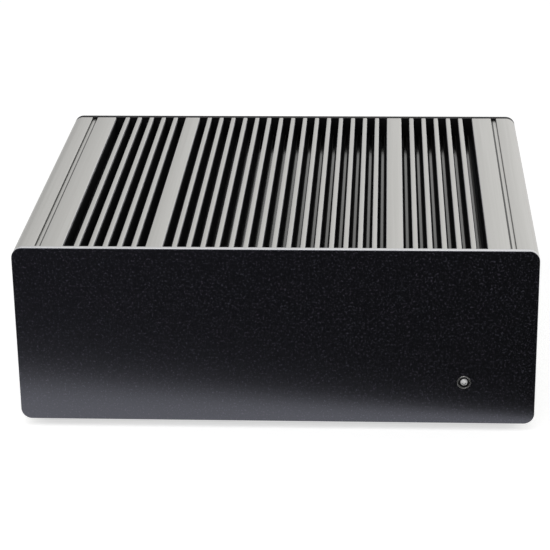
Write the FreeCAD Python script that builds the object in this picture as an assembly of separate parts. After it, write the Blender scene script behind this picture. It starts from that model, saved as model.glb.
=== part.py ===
"""Fanless industrial PC: a finned aluminium cover over a board tray, closed by a front and a rear plate.

Millimetres. X runs to the right seen from the front, Y from front to rear, Z up. The origin is on the
surface the feet stand on, under the middle of the case.
"""
import FreeCAD
import Part

import math
import os

V = FreeCAD.Vector
AXIS_Y, AXIS_Z = V(0, 1, 0), V(0, 0, 1)
over = 1.0                  # cutters run this far past the surface they open
bury = 0.1                  # pieces joined into one solid reach this far into each other

# ---------------------------------------------------------------- driving dimensions
case_w = 240.0              # over the side walls
case_d = 200.0              # fascia face to rear plate face
case_h = 86.0               # without the feet
corner_r = 5.0              # all four long corners
foot_h = 4.0                # rubber foot under the base

fascia_t = 0.6
front_plate_t = 2.4
rear_plate_t = 3.0
base_t = 3.0

fin_pitch = 6.5
fin_t = 2.2                 # fin thickness at its top
fin_h = 10.0
gap_root_w = 3.4            # gap width where its sloped root begins
gap_floor_w = 1.2           # flat floor between the two slopes
mid_fins = 15
side_fins = 5
side_pitch = 6.58           # the outer groups are spaced a little wider
land_w = 7.7                # plain land between fin groups
end_gap = 5.2               # wider gap beside the outer land
lip = 0.3                   # broken edge of fins and lands

groove_w = 2.7              # trim groove beside each long corner
groove_depth = 1.2
groove_inset = 11.75        # groove centre from the corner's outer face

roof_t = 4.0                # metal under the fin gaps
wall_t = 4.5
boss_w = 17.5               # corner boss, from the outer face
boss_h = 17.0               # lower boss; the upper one ends one chamfer under the roof
boss_chamfer = 3.0
channel_inset = 8.5         # screw channel centre from both outer faces
rail_w = 7.0                # wall left outside the base plate

m3_r, m4_r = 1.5, 2.0
thread_fit = 0.05           # radial room between a plain screw and its threaded hole
hole_fit = 0.25             # radial room of a clearance hole
seat_fit = 0.2              # gap beside a plate dropped into place
port_fit = 0.3              # gap round a connector in the shield

board_w = 170.0
board_t = 1.6
standoff_h = 8.0
board_rear_gap = 2.0        # board edge to rear plate
mount_hole_x = (6.35, 163.83)   # board holes, from its left and rear edges
mount_hole_y = (10.16, 33.02, 165.10)

io_w, io_h = 158.75, 44.45  # connector window in the rear plate
io_drop = 3.8               # window's lower edge below the board's top
shield_t = 0.8
shield_recess = 1.0         # shield face behind the rear plate's face
port_recess = 0.4           # connector faces behind the rear plate's face

led_from_side = 32.9        # lamp centre from the right side
led_from_base = 21.2        # lamp centre from the case's underside
led_r = 1.75
bezel_r = 3.2
bezel_shank_r = 2.5

plate_screw_len = 12.0      # front and rear plate screws, M4
base_screw_len = 10.0       # base plate screws, M3
base_screw_inset = 13.5     # their centres from the outer face
base_screw_end = 20.0       # and from both ends of the case
rear_head_r, rear_head_h = 3.8, 2.4
small_head_r, small_head_h = 2.8, 1.8

foot_r = 10.0
foot_inset_x, foot_inset_y = 32.0, 28.0
foot_screw_len = 6.0
hanger_pitch = 100.0        # square of threaded holes for a wall or arm bracket
hanger_hole_r = 1.65        # tapping size for M4

# ---------------------------------------------------------------- levels worked out from them
half_w, half_d = case_w / 2, case_d / 2
z_base = foot_h                                   # underside of the case
z_top = z_base + case_h
y_fascia = -half_d
y_front = y_fascia + fascia_t                     # face of the front plate
y_cover0 = y_front + front_plate_t
y_cover1 = half_d - rear_plate_t
cover_len = y_cover1 - y_cover0
z_gap = z_top - fin_h
z_roof = z_gap - roof_t
z_floor = z_base + base_t
z_board = z_floor + standoff_h
z_parts = z_board + board_t                       # top of the board
board_y1 = y_cover1 - board_rear_gap
board_y0 = board_y1 - board_w
channel_x = half_w - channel_inset
channel_z = (z_base + channel_inset, z_top - channel_inset)
boss_x = half_w - boss_w
io_z0 = z_parts - io_drop
y_ports = half_d - port_recess
y_shield = half_d - shield_recess                 # outer face of the shield
led_x, led_z = half_w - led_from_side, z_base + led_from_base
base_screw_x = half_w - base_screw_inset
base_screw_y = (-half_d + base_screw_end, half_d - base_screw_end)


def on_board(from_left, from_rear):
    """Place on the board, measured as its maker would from the left and rear edges."""
    return -board_w / 2 + from_left, board_y1 - from_rear


# ---------------------------------------------------------------- small shape makers
def block(x0, x1, y0, y1, z0, z1):
    """Block between two opposite corners."""
    return Part.makeBox(x1 - x0, y1 - y0, z1 - z0, V(x0, y0, z0))


def block_at(x, y, w, d, z0, h):
    """Block centred on x, y that stands on z0."""
    return block(x - w / 2, x + w / 2, y - d / 2, y + d / 2, z0, z0 + h)


def rod(x, y, z, r, length, axis):
    """Cylinder that starts at a point and runs along an axis."""
    return Part.makeCylinder(r, length, V(x, y, z), axis)


def round_edges(shape, r, axis):
    """Fillets the outer edges that run along an axis."""
    edges = [e for e in shape.Edges if abs(abs(e.tangentAt(e.FirstParameter).dot(axis)) - 1) < 1e-6]
    return shape.makeFillet(r, edges)


def panel(w, z0, z1, y0, t, r):
    """Upright plate centred on X with rounded corners."""
    return round_edges(block(-w / 2, w / 2, y0, y0 + t, z0, z1), r, AXIS_Y)


def prism_y(points, y0, length):
    """Closed X, Z outline carried along Y."""
    ring = [V(x, y0, z) for x, z in points]
    return Part.Face(Part.makePolygon(ring + ring[:1])).extrude(V(0, length, 0))


head_sides, shank_sides = 12, 8                   # small hardware is drawn with flats to stay light


def polygon(r, sides, z):
    """Closed ring with its corners on a circle."""
    step = 2 * math.pi / sides
    return Part.makePolygon([V(r * math.cos(k * step), r * math.sin(k * step), z) for k in range(sides + 1)])


def aim(shape, place, axis):
    """Moves a shape made along Z to a place and turns it along an axis."""
    shape.Placement = FreeCAD.Placement(place, FreeCAD.Rotation(AXIS_Z, axis))
    return shape


def bore(x, y, z, r, length, axis=AXIS_Z):
    """Cutter for a small hole: flats that just clear the radius."""
    return post(x, y, z, r / math.cos(math.pi / shank_sides), shank_sides, length, axis)


def post(x, y, z, r, sides, length, axis=AXIS_Z):
    """Bar with flats that starts at a point and runs along an axis."""
    return aim(Part.Face(polygon(r, sides, 0)).extrude(AXIS_Z * length), V(x, y, z), axis)


def turned(points, place, axis):
    """Solid of revolution: points are radius and distance along the axis from place."""
    ring = [V(r, 0, d) for r, d in points]
    solid = Part.Face(Part.makePolygon(ring + ring[:1])).revolve(V(0, 0, 0), AXIS_Z, 360)
    return aim(solid, place, axis)


def hexagon(x, y, z, across, length, axis):
    """Hexagonal bar that starts at a point and runs along an axis."""
    return post(x, y, z, across / 2 / math.cos(math.pi / 6), 6, length, axis)


def cut_all(shape, tools):
    return shape.cut(Part.makeCompound(tools))


def save(name, *solids):
    """Writes one node: a single solid, or a group of like solids."""
    shape = solids[0] if len(solids) == 1 else Part.makeCompound(list(solids))
    if not shape.isValid():
        raise ValueError(name + " is not a valid solid")
    shape.exportStep("parts/" + name + ".step")


def corners(x, ys):
    """Left and right places at each of several depths or heights."""
    return [(side * x, y) for side in (-1, 1) for y in ys]


plate_screw_places = corners(channel_x, channel_z)
base_screw_places = corners(base_screw_x, base_screw_y)


# ---------------------------------------------------------------- finned cover
def fin_gaps():
    """Centre of every gap's floor, and how much further out its left and right walls stand than a usual gap's."""
    gap, wider = fin_pitch - fin_t, end_gap - fin_pitch + fin_t
    gaps = [((k - mid_fins / 2) * fin_pitch, 0, 0) for k in range(mid_fins + 1)]
    first = (mid_fins + 1) / 2 * fin_pitch - fin_t / 2 + land_w + gap / 2
    right = [(first + k * side_pitch, 0, 0) for k in range(side_fins)]
    right.append((first + side_fins * side_pitch, 0, wider))
    return gaps + right + [(-x, beyond, 0) for x, _, beyond in right]


def gap_cutter(x, left, right):
    """Space between two fins: broken lips, walls that close in slightly, a sloped root and a flat floor."""
    gap, slope = fin_pitch - fin_t, (gap_root_w - gap_floor_w) / 2

    def half(wider):
        top, root = gap / 2 + wider, gap_root_w / 2 + wider
        return [(top + lip, z_top + over), (top + lip, z_top), (top, z_top - lip),
                (root, z_gap + slope), (gap_floor_w / 2, z_gap)]

    outline = [(x + w, z) for w, z in half(right)] + [(x - w, z) for w, z in reversed(half(left))]
    return prism_y(outline, y_cover0 - over, cover_len + 2 * over)


def heatsink_cover():
    """Extruded roof and side walls in one piece: fins, trim grooves, corner bosses and screw channels."""
    c, y0, y1 = boss_chamfer, y_cover0 - over, y_cover1 + over
    body = round_edges(block(-half_w, half_w, y_cover0, y_cover1, z_base, z_top), corner_r, AXIS_Y)
    wall_x, low, high = half_w - wall_t, z_base + boss_h, z_roof - c
    side = [(boss_x, z_base - over), (boss_x, low - c), (boss_x + c, low), (wall_x, low), (wall_x, high),
            (boss_x + c, high), (boss_x, z_roof)]
    tools = [prism_y(side + [(-x, z) for x, z in reversed(side)], y0, y1 - y0)]
    tools.append(block(-half_w + rail_w, half_w - rail_w, y0, y1, z_base - over, z_floor))
    tools += [gap_cutter(*gap) for gap in fin_gaps()]
    for sign in (-1, 1):
        x, face_x = sign * (half_w - groove_inset), sign * half_w
        tools.append(block(x - groove_w / 2, x + groove_w / 2, y0, y1, z_top - groove_depth, z_top + over))
        for z in (z_top - groove_inset, z_base + groove_inset):
            tools.append(block(face_x - groove_depth, face_x + groove_depth, y0, y1,
                               z - groove_w / 2, z + groove_w / 2))
    for x, z in plate_screw_places:
        tools.append(bore(x, y0, z, m4_r + thread_fit, y1 - y0, AXIS_Y))
    for x, y in base_screw_places:
        tools.append(bore(x, y, z_floor - over, m3_r + thread_fit, base_screw_len - base_t + 2 * over))
    return cut_all(body, tools)


# ---------------------------------------------------------------- screws
csk_head = {m3_r: 2.8, m4_r: 3.8}                 # countersunk head radius for each size; a 90 degree cone


def screw(place, axis, r, length, head):
    """Screw with plain threads; head lists radius and distance from place along the axis, outermost first."""
    rings = [polygon(head_r, head_sides, d) for head_r, d in head]
    solid = Part.makeLoft(rings, True, True)
    start = head[-1][1]
    shank = post(0, 0, start, r, shank_sides, length - start)
    return aim(solid.fuse(shank), place, axis)


def csk_screw(place, axis, r, length):
    """Countersunk screw whose head is flush with place; axis points into the work."""
    return screw(place, axis, r, length, [(csk_head[r], 0), (r, csk_head[r] - r)])


def cap_screw(place, axis, r, length, head_r, head_h):
    """Domed-head screw: place is under the head and axis points into the work."""
    head = [(head_r * 0.75, -head_h), (head_r, -head_h * 0.5), (head_r, 0)]
    return screw(place, axis, r, length, head)


def csk_hole(place, axis, r, depth):
    """Countersunk clearance hole for the same screw."""
    head_r, hole_r = csk_head[r] + thread_fit, r + hole_fit
    rings = [polygon(head_r, head_sides, 0), polygon(hole_r, head_sides, head_r - hole_r)]
    mouth = post(0, 0, -over, head_r, head_sides, over)
    hole = post(0, 0, 0, hole_r, head_sides, depth + over)
    return aim(Part.makeLoft(rings, True, True).fuse([mouth, hole]), place, axis)


# ---------------------------------------------------------------- front: plate, fascia and lamp
def front_plate():
    """Silver plate, screwed to the cover's four channels; the glued fascia hides its screws."""
    plate = panel(case_w, z_base, z_top, y_front, front_plate_t, corner_r)
    tools = [csk_hole(V(x, y_front, z), AXIS_Y, m4_r, front_plate_t) for x, z in plate_screw_places]
    tools.append(lamp_hole(y_front, front_plate_t))
    return cut_all(plate, tools)


def lamp_hole(y, t):
    """Cutter for the lamp's ring through a sheet."""
    return rod(led_x, y - over, led_z, bezel_shank_r + thread_fit, t + 2 * over, AXIS_Y)


def front_plate_screws():
    return [csk_screw(V(x, y_front, z), AXIS_Y, m4_r, plate_screw_len) for x, z in plate_screw_places]


def front_fascia():
    """Thin black overlay glued over the whole front plate."""
    sheet = panel(case_w, z_base, z_top, y_fascia, fascia_t, corner_r)
    return sheet.cut(lamp_hole(y_fascia, fascia_t))


flange_t = 1.0              # bezel ring in front of the fascia
shank_len = 8.0             # bezel behind the fascia's face
rim_soft = 0.3              # sloped outer edge of the ring
cup_r, cup_depth = 2.6, 0.7
bezel_nut_t, bezel_nut_af = 2.0, 8.0


def led_bezel():
    """Turned metal ring with a rounded rim, a shallow cup round the lens and a shank through the plate."""
    bore_r = led_r + thread_fit
    rim = [(bezel_r, 0), (bezel_r, -flange_t * 0.6), (bezel_r - rim_soft, -flange_t), (cup_r, -flange_t)]
    cup = [(cup_r, -flange_t + cup_depth), (bore_r, -flange_t + cup_depth)]
    shank = [(bore_r, shank_len), (bezel_shank_r, shank_len), (bezel_shank_r, 0)]
    return turned(rim + cup + shank, V(led_x, y_fascia, led_z), AXIS_Y)


def led_nut():
    """Thin hexagon nut that clamps the bezel behind the front plate."""
    nut = hexagon(led_x, y_cover0, led_z, bezel_nut_af, bezel_nut_t, AXIS_Y)
    return nut.cut(lamp_hole(y_cover0, bezel_nut_t))


led_proud = 0.5             # dome in front of the bezel's rim
led_flange_r, led_flange_t = 2.3, 1.0
led_leg = 0.5
led_leg_pitch = 2.54
led_leg_len = 5.0
y_led_back = y_fascia + shank_len                 # the lamp's flange seats on the shank's end


def status_led():
    """Moulded lamp with a round nose, a seating flange and two legs."""
    nose = y_fascia - flange_t - led_proud
    length = y_led_back - nose
    steps = 3
    dome = [(led_r * math.sin(a), led_r * (1 - math.cos(a)))
            for a in (k * math.pi / 2 / steps for k in range(steps + 1))]
    back = length + led_flange_t
    base = [(led_r, length), (led_flange_r, length), (led_flange_r, back), (0, back)]
    lamp = turned(dome + base, V(led_x, nose, led_z), AXIS_Y)
    return lamp.fuse(lamp_legs(led_leg, y_led_back + led_flange_t - bury, led_leg_len + bury))


def lamp_legs(side, y0, length):
    """The lamp's two square legs, or with a larger side the holes that they go into."""
    return [block(x - side / 2, x + side / 2, y0, y0 + length, led_z - side / 2, led_z + side / 2)
            for x in (led_x - led_leg_pitch / 2, led_x + led_leg_pitch / 2)]


# ---------------------------------------------------------------- base, feet and rear plate
def base_plate():
    """Flat aluminium base in the cover's rebate, with holes for screws, standoffs, feet and a bracket."""
    half = half_w - rail_w - seat_fit
    plate = block(-half, half, y_cover0 + seat_fit, y_cover1 - seat_fit, z_base, z_floor)
    below, depth = z_base - over, base_t + 2 * over
    tools = [csk_hole(V(x, y, z_base), AXIS_Z, m3_r, base_t) for x, y in base_screw_places]
    tools += [bore(x, y, below, spigot_r + thread_fit, depth) for x, y in board_hole_places()]
    tools += [bore(x, y, below, m3_r + thread_fit, depth) for x, y in foot_places()]
    hangers = corners(hanger_pitch / 2, (-hanger_pitch / 2, hanger_pitch / 2))
    tools += [rod(x, y, below, hanger_hole_r, depth, AXIS_Z) for x, y in hangers]
    return cut_all(plate, tools)


def base_screws():
    return [csk_screw(V(x, y, z_base), AXIS_Z, m3_r, base_screw_len) for x, y in base_screw_places]


def foot_places():
    return corners(half_w - foot_inset_x, (-half_d + foot_inset_y, half_d - foot_inset_y))


foot_seat = 1.8             # rubber under the screw head's seat, from the base plate down


def rubber_feet():
    """Round feet with a counterbore that takes the screw head clear of the table."""
    feet = []
    for x, y in foot_places():
        foot = rod(x, y, 0, foot_r, foot_h, AXIS_Z)
        cuts = [bore(x, y, -over, small_head_r + hole_fit, foot_h - foot_seat + over)]
        cuts.append(bore(x, y, 0, m3_r + hole_fit, foot_h))
        feet.append(cut_all(foot, cuts))
    return feet


def foot_screws():
    seat = foot_h - foot_seat
    return [cap_screw(V(x, y, seat), AXIS_Z, m3_r, foot_screw_len - hole_fit, small_head_r, small_head_h)
            for x, y in foot_places()]


def rear_plate():
    """Black plate with one connector window, screwed to the same four channels."""
    plate = panel(case_w, z_base, z_top, y_cover1, rear_plate_t, corner_r)
    y0, depth = y_cover1 - over, rear_plate_t + 2 * over
    tools = [block(-io_w / 2, io_w / 2, y0, y0 + depth, io_z0, io_z0 + io_h)]
    tools += [bore(x, y0, z, m4_r + hole_fit, depth, AXIS_Y) for x, z in plate_screw_places]
    return cut_all(plate, tools)


def rear_plate_screws():
    return [cap_screw(V(x, half_d, z), AXIS_Y * -1, m4_r, plate_screw_len, rear_head_r, rear_head_h)
            for x, z in plate_screw_places]


# ---------------------------------------------------------------- mainboard and what carries it
spigot_r = 2.0
standoff_af = 5.5
board_screw_len = 6.0


def board_hole_places():
    """The board form's own four holes: the rear right one is set forward of the connectors."""
    (left, right), (rear, rear_right, front) = mount_hole_x, mount_hole_y
    x0, y0 = -board_w / 2, board_y1
    return [(x0 + left, y0 - rear), (x0 + left, y0 - front),
            (x0 + right, y0 - front), (x0 + right, y0 - rear_right)]


def standoffs():
    """Hexagonal brass posts pressed into the base plate."""
    posts = []
    for x, y in board_hole_places():
        body = hexagon(x, y, z_floor, standoff_af, standoff_h, AXIS_Z)
        body = body.fuse(post(x, y, z_base, spigot_r, shank_sides, base_t + bury))
        posts.append(body.cut(bore(x, y, z_floor, m3_r + thread_fit, standoff_h + over)))
    return posts


def mainboard():
    board = block(-board_w / 2, board_w / 2, board_y0, board_y1, z_board, z_parts)
    below, depth = z_board - over, board_t + 2 * over
    places = board_hole_places() + cooler_screw_places()
    tools = [bore(x, y, below, m3_r + hole_fit, depth) for x, y in places]
    tools.append(bore(ssd_x, ssd_y1 - ssd_len, below, ssd_spigot_r + thread_fit, depth))
    return cut_all(board, tools)


def mainboard_screws():
    return [cap_screw(V(x, y, z_parts), AXIS_Z * -1, m3_r, board_screw_len, small_head_r, small_head_h)
            for x, y in board_hole_places()]


# ---------------------------------------------------------------- processor and its heat path
cpu_from_left, cpu_from_rear = 77.0, 95.0
cpu_x, cpu_y = on_board(cpu_from_left, cpu_from_rear)
cpu_w, cpu_base_t, die_w, die_d, die_t = 28.0, 1.2, 14.0, 11.0, 0.8
pad_t, roof_pad_t = 0.5, 1.0
riser_w, riser_d = 56.0, 44.0
foot_ledge_x, foot_ledge_y = 9.0, 6.0             # foot plate outside the riser's core
foot_plate_w, foot_plate_d = riser_w + 2 * foot_ledge_x, riser_d + 2 * foot_ledge_y
foot_plate_t = 4.0
leg_inset = 5.0                                   # leg and screw centres from the foot plate's edges
leg_w = 7.0
back_plate_t = 2.0
z_block = z_parts + cpu_base_t + die_t + pad_t


def cooler_screw_places():
    x, y = foot_plate_w / 2 - leg_inset, foot_plate_d / 2 - leg_inset
    return [(cpu_x + i, cpu_y + k) for i, k in corners(x, (-y, y))]


def cpu_package():
    """Soldered processor: a square carrier with the bare die on it."""
    carrier = block_at(cpu_x, cpu_y, cpu_w, cpu_w, z_parts, cpu_base_t)
    return carrier.fuse(block_at(cpu_x, cpu_y, die_w, die_d, z_parts + cpu_base_t, die_t))


def cpu_pad():
    return block_at(cpu_x, cpu_y, die_w, die_d, z_block - pad_t, pad_t)


def heat_riser():
    """Aluminium block that carries heat from the processor up to the roof, on a foot plate with four legs."""
    foot = block_at(cpu_x, cpu_y, foot_plate_w, foot_plate_d, z_block, foot_plate_t)
    core = block_at(cpu_x, cpu_y, riser_w, riser_d, z_block, z_roof - roof_pad_t - z_block)
    places = cooler_screw_places()
    legs = [block_at(x, y, leg_w, leg_w, z_parts, z_block - z_parts + bury) for x, y in places]
    depth = z_block + foot_plate_t - z_parts + 2 * over
    holes = [bore(x, y, z_parts - over, m3_r + hole_fit, depth) for x, y in places]
    return cut_all(foot.fuse([core] + legs), holes)


def roof_pad():
    return block_at(cpu_x, cpu_y, riser_w, riser_d, z_roof - roof_pad_t, roof_pad_t)


def riser_screws():
    top = z_block + foot_plate_t
    length = top - z_board + back_plate_t
    return [cap_screw(V(x, y, top), AXIS_Z * -1, m3_r, length, small_head_r, small_head_h)
            for x, y in cooler_screw_places()]


def back_plate():
    """Steel plate under the board that the riser's screws pull against."""
    plate = block_at(cpu_x, cpu_y, foot_plate_w, foot_plate_d, z_board - back_plate_t, back_plate_t)
    below, depth = z_board - back_plate_t - over, back_plate_t + 2 * over
    holes = [bore(x, y, below, m3_r + thread_fit, depth) for x, y in cooler_screw_places()]
    window = block_at(cpu_x, cpu_y, cpu_w, cpu_w, below, depth)
    return cut_all(plate, holes + [window])


# ---------------------------------------------------------------- memory, storage and small parts
memory_from_left, memory_from_rear = 121.0, 167.0
memory_x, memory_y0 = on_board(memory_from_left, memory_from_rear)
module_w, module_d, module_t = 67.6, 30.0, 1.2
socket_h, socket_d, arm_w, arm_len = 5.2, 7.0, 3.0, 24.0
slot_z = 2.6                # module above the board
slot_depth = 4.0
memory_chip_w, memory_chip_d, card_chip_h = 12.0, 9.0, 1.1


def memory_module():
    """Laptop-size module: a card with four chips on its upper face."""
    z = z_parts + slot_z
    y0 = memory_y0 + socket_d - slot_depth
    card = block(memory_x - module_w / 2, memory_x + module_w / 2, y0, y0 + module_d, z, z + module_t)
    pitch = module_w / 4
    chips = [block_at(memory_x + (k - 1.5) * pitch, y0 + module_d * 0.55, memory_chip_w, memory_chip_d,
                      z + module_t - bury, card_chip_h) for k in range(4)]
    return card.fuse(chips)


def memory_socket():
    """Low socket along the card's edge with a spring arm on each side."""
    half = module_w / 2 + seat_fit
    outer = half + arm_w
    y1 = memory_y0 + socket_d
    body = block(memory_x - outer, memory_x + outer, memory_y0, y1, z_parts, z_parts + socket_h)
    arms = [block(x - arm_w / 2, x + arm_w / 2, y1 - bury, y1 + arm_len, z_parts, z_parts + socket_h)
            for x in (memory_x - half - arm_w / 2, memory_x + half + arm_w / 2)]
    z = z_parts + slot_z
    slot = block(memory_x - half, memory_x + half, y1 - slot_depth, y1 + over, z, z + module_t)
    return body.fuse(arms).cut(slot)


ssd_from_left, ssd_from_rear = 17.0, 83.0
ssd_x, ssd_y1 = on_board(ssd_from_left, ssd_from_rear)
ssd_w, ssd_len, ssd_t = 22.0, 80.0, 0.8
ssd_z = 2.4                 # card above the board
ssd_socket_h, ssd_socket_d, ssd_slot_depth = 4.2, 8.0, 4.0
ssd_post_af, ssd_spigot_r, ssd_screw_r = 5.2, 2.1, 1.0
ssd_chip_w, ssd_chip_d, ssd_notch_r = 14.0, 18.0, 1.75
ssd_screw_len, ssd_head_h = 3.0, 1.2


def ssd_module():
    """Narrow card with two chips and a half-round notch for its screw."""
    z = z_parts + ssd_z
    y0 = ssd_y1 - ssd_len
    card = block(ssd_x - ssd_w / 2, ssd_x + ssd_w / 2, y0, ssd_y1, z, z + ssd_t)
    card = card.cut(rod(ssd_x, y0, z - over, ssd_notch_r, ssd_t + 2 * over, AXIS_Z))
    chips = [block_at(ssd_x, y0 + share * ssd_len, ssd_chip_w, ssd_chip_d, z + ssd_t - bury, card_chip_h)
             for share in (0.35, 0.68)]
    return card.fuse(chips)


def ssd_socket():
    """Low socket with a slot across its front for the card's edge."""
    y0, z = ssd_y1 - ssd_slot_depth, z_parts + ssd_z
    half = ssd_w / 2 + over
    body = block_at(ssd_x, y0 + ssd_socket_d / 2, ssd_w, ssd_socket_d, z_parts, ssd_socket_h)
    return body.cut(block(ssd_x - half, ssd_x + half, y0 - over, ssd_y1, z, z + ssd_t))


def ssd_post():
    """Hexagonal post under the card's free end, with a round spigot in the board."""
    x, y = ssd_x, ssd_y1 - ssd_len
    spigot = post(x, y, z_board, ssd_spigot_r, shank_sides, board_t + bury)
    body = hexagon(x, y, z_parts, ssd_post_af, ssd_z, AXIS_Z).fuse(spigot)
    return body.cut(bore(x, y, z_board - over, ssd_screw_r + thread_fit, board_t + ssd_z + 2 * over))


def ssd_screw():
    place = V(ssd_x, ssd_y1 - ssd_len, z_parts + ssd_z + ssd_t)
    return cap_screw(place, AXIS_Z * -1, ssd_screw_r, ssd_screw_len, small_head_r, ssd_head_h)


cell_from_left, cell_from_rear = 23.0, 50.0
cell_x, cell_y = on_board(cell_from_left, cell_from_rear)
cell_r, cell_t = 10.0, 3.2
cell_floor, cell_wall, holder_h = 1.2, 1.6, 3.8
cell_mouth_w = 10.0
round_sides = 20            # larger round parts on the board


def coin_cell():
    return post(cell_x, cell_y, z_parts + cell_floor, cell_r, round_sides, cell_t)


def cell_holder():
    """Square plastic tray with a round seat that is open on one side for sliding the cell out."""
    r = cell_r + seat_fit
    tray = block_at(cell_x, cell_y, 2 * (r + cell_wall), 2 * (r + cell_wall), z_parts, holder_h)
    seat = post(cell_x, cell_y, z_parts + cell_floor, r, round_sides, holder_h)
    mouth = block(cell_x - cell_mouth_w / 2, cell_x + cell_mouth_w / 2, cell_y - 2 * r, cell_y,
                  z_parts + cell_floor, z_parts + holder_h + over)
    return cut_all(tray, [seat, mouth])


coil_w, coil_d, coil_h = 7.5, 7.0, 4.2
can_r, can_h = 3.15, 7.7
converter_from_left, converter_from_rear, converter_pitch = 121.0, 85.0, 12.0
coil_to_can = 12.0
chips_from_rear, chip_h = 44.0, 1.2
chips_x_w = ((65.0, 12.0), (93.0, 9.0), (123.0, 14.0))      # from the board's left edge, and width


def converter_places(right):
    """Row of three coils, or of three cans to their right."""
    return [on_board(converter_from_left + right, converter_from_rear + k * converter_pitch)
            for k in range(3)]


def inductors():
    return [block_at(*place, coil_w, coil_d, z_parts, coil_h) for place in converter_places(0)]


def capacitors():
    return [post(*place, z_parts, can_r, head_sides, can_h) for place in converter_places(coil_to_can)]


def interface_chips():
    return [block_at(*on_board(x, chips_from_rear), w, w, z_parts, chip_h) for x, w in chips_x_w]


# ---------------------------------------------------------------- lamp lead
header_from_left, header_from_rear = 164.0, 121.0
header_x, header_y = on_board(header_from_left, header_from_rear)
header_w, header_d, header_h = 5.2, 2.7, 2.6
pin_w, pin_h = 0.64, 8.0
plug_h = 10.0
lead_w, lead_t = 2.4, 1.2
lead_straight, lead_drop = 16.0, 14.0             # runs out of the sleeve, and above the plug
sleeve_w, sleeve_t, sleeve_len = 4.8, 2.4, 9.0


def header_pins(side, z, height):
    """The header's two square pins, or with a larger side the holes that they go into."""
    return [block_at(x, header_y, side, side, z, height)
            for x in (header_x - led_leg_pitch / 2, header_x + led_leg_pitch / 2)]


def lamp_header():
    """Two square pins in a low plastic base."""
    base = block_at(header_x, header_y, header_w, header_d, z_parts, header_h)
    return base.fuse(header_pins(pin_w, z_parts + header_h - bury, pin_h + bury))


def lamp_plug():
    """Plug body that slides over the two pins."""
    z = z_parts + header_h
    body = block_at(header_x, header_y, header_w, header_d, z, plug_h)
    return cut_all(body, header_pins(pin_w + 2 * thread_fit, z - over, pin_h + over))


def lamp_sleeve():
    """Flat sleeve over the lamp's two legs, where the lead is soldered on."""
    y0 = y_led_back + led_flange_t
    body = block(led_x - sleeve_w / 2, led_x + sleeve_w / 2, y0, y0 + sleeve_len,
                 led_z - sleeve_t / 2, led_z + sleeve_t / 2)
    return cut_all(body, lamp_legs(led_leg + 2 * thread_fit, y0 - over, led_leg_len + over + thread_fit))


turn_share = 0.45           # of the shorter run beside a turn, taken up by its arc


def bent_ribbon(points, w, t):
    """Flat lead along straight runs, with a tangent arc at each turn as large as its two runs allow."""
    edges, start = [], points[0]
    for before, corner, after in zip(points, points[1:], points[2:]):
        come, go = before - corner, after - corner
        room = turn_share * min(come.Length, go.Length)
        come.normalize()
        go.normalize()
        turn = math.pi - come.getAngle(go)
        radius = room / math.tan(turn / 2)
        a, b = corner + come * room, corner + go * room
        inwards = (come + go).normalize()
        middle = corner + inwards * (radius / math.cos(turn / 2) - radius)
        edges += [Part.makeLine(start, a), Part.Arc(a, middle, b).toShape()]
        start = b
    edges.append(Part.makeLine(start, points[-1]))
    x, y, z = points[0]
    signs = ((-1, -1), (1, -1), (1, 1), (-1, 1), (-1, -1))
    ring = Part.makePolygon([V(x + i * w / 2, y, z + k * t / 2) for i, k in signs])
    return Part.Wire(edges).makePipeShell([ring], True, False)


def lamp_lead():
    """Flat two-core lead, from the lamp's sleeve over to the plug on the board."""
    y0 = y_led_back + led_flange_t + sleeve_len
    z1 = z_parts + header_h + plug_h
    z2 = z1 + lead_drop
    points = [V(led_x, y0, led_z), V(led_x, y0 + lead_straight, led_z),
              V(header_x, header_y - lead_drop, z2), V(header_x, header_y, z2), V(header_x, header_y, z1)]
    return bent_ribbon(points, lead_w, lead_t)


# ---------------------------------------------------------------- rear connectors
lan_x = (-33.0, -54.0)
lan_w, lan_d, lan_h = 16.8, 24.0, 29.2
usb_w, usb_h, usb_depth = 12.5, 5.0, 11.0
usb_z = (4.5, 12.3)
tongue_w, tongue_t = 11.0, 1.8
jack_w, jack_h, jack_z, jack_depth = 11.8, 7.2, 18.6, 14.0
latch_w, latch_h = 6.2, 1.6
tongue_back = 1.5           # tongue's tip behind the port's face
tongue_lift = 0.3           # tongue above the middle of its port


def lan_usb_port(x):
    """Network jack over two stacked USB ports in one shielded housing."""
    body = block(x - lan_w / 2, x + lan_w / 2, y_ports - lan_d, y_ports, z_parts, z_parts + lan_h)
    y1 = y_ports + over
    tools, tongues = [], []
    for middle in usb_z:
        z = z_parts + middle
        y0 = y_ports - usb_depth
        tools.append(block(x - usb_w / 2, x + usb_w / 2, y0, y1, z - usb_h / 2, z + usb_h / 2))
        tongues.append(block(x - tongue_w / 2, x + tongue_w / 2, y0 - bury, y_ports - tongue_back,
                             z + tongue_lift, z + tongue_lift + tongue_t))
    z, y0 = z_parts + jack_z, y_ports - jack_depth
    tools.append(block(x - jack_w / 2, x + jack_w / 2, y0, y1, z, z + jack_h))
    tools.append(block(x - latch_w / 2, x + latch_w / 2, y0, y1, z + jack_h - bury, z + jack_h + latch_h))
    return cut_all(body, tools).fuse(tongues)


hdmi_x, hdmi_w, hdmi_h, hdmi_d = 9.0, 15.2, 6.2, 12.0
dp_x, dp_w, dp_h, dp_d = -13.0, 17.0, 6.8, 15.0
shell_wall = 0.6
mouth_share = 0.7           # of a video socket's depth that is open
hdmi_chamfer, dp_chamfer, dp_corner = 1.6, 2.0, 0.3
video_tongue_inset, video_tongue_back, video_tongue_t = 2.5, 1.2, 1.1


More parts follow.
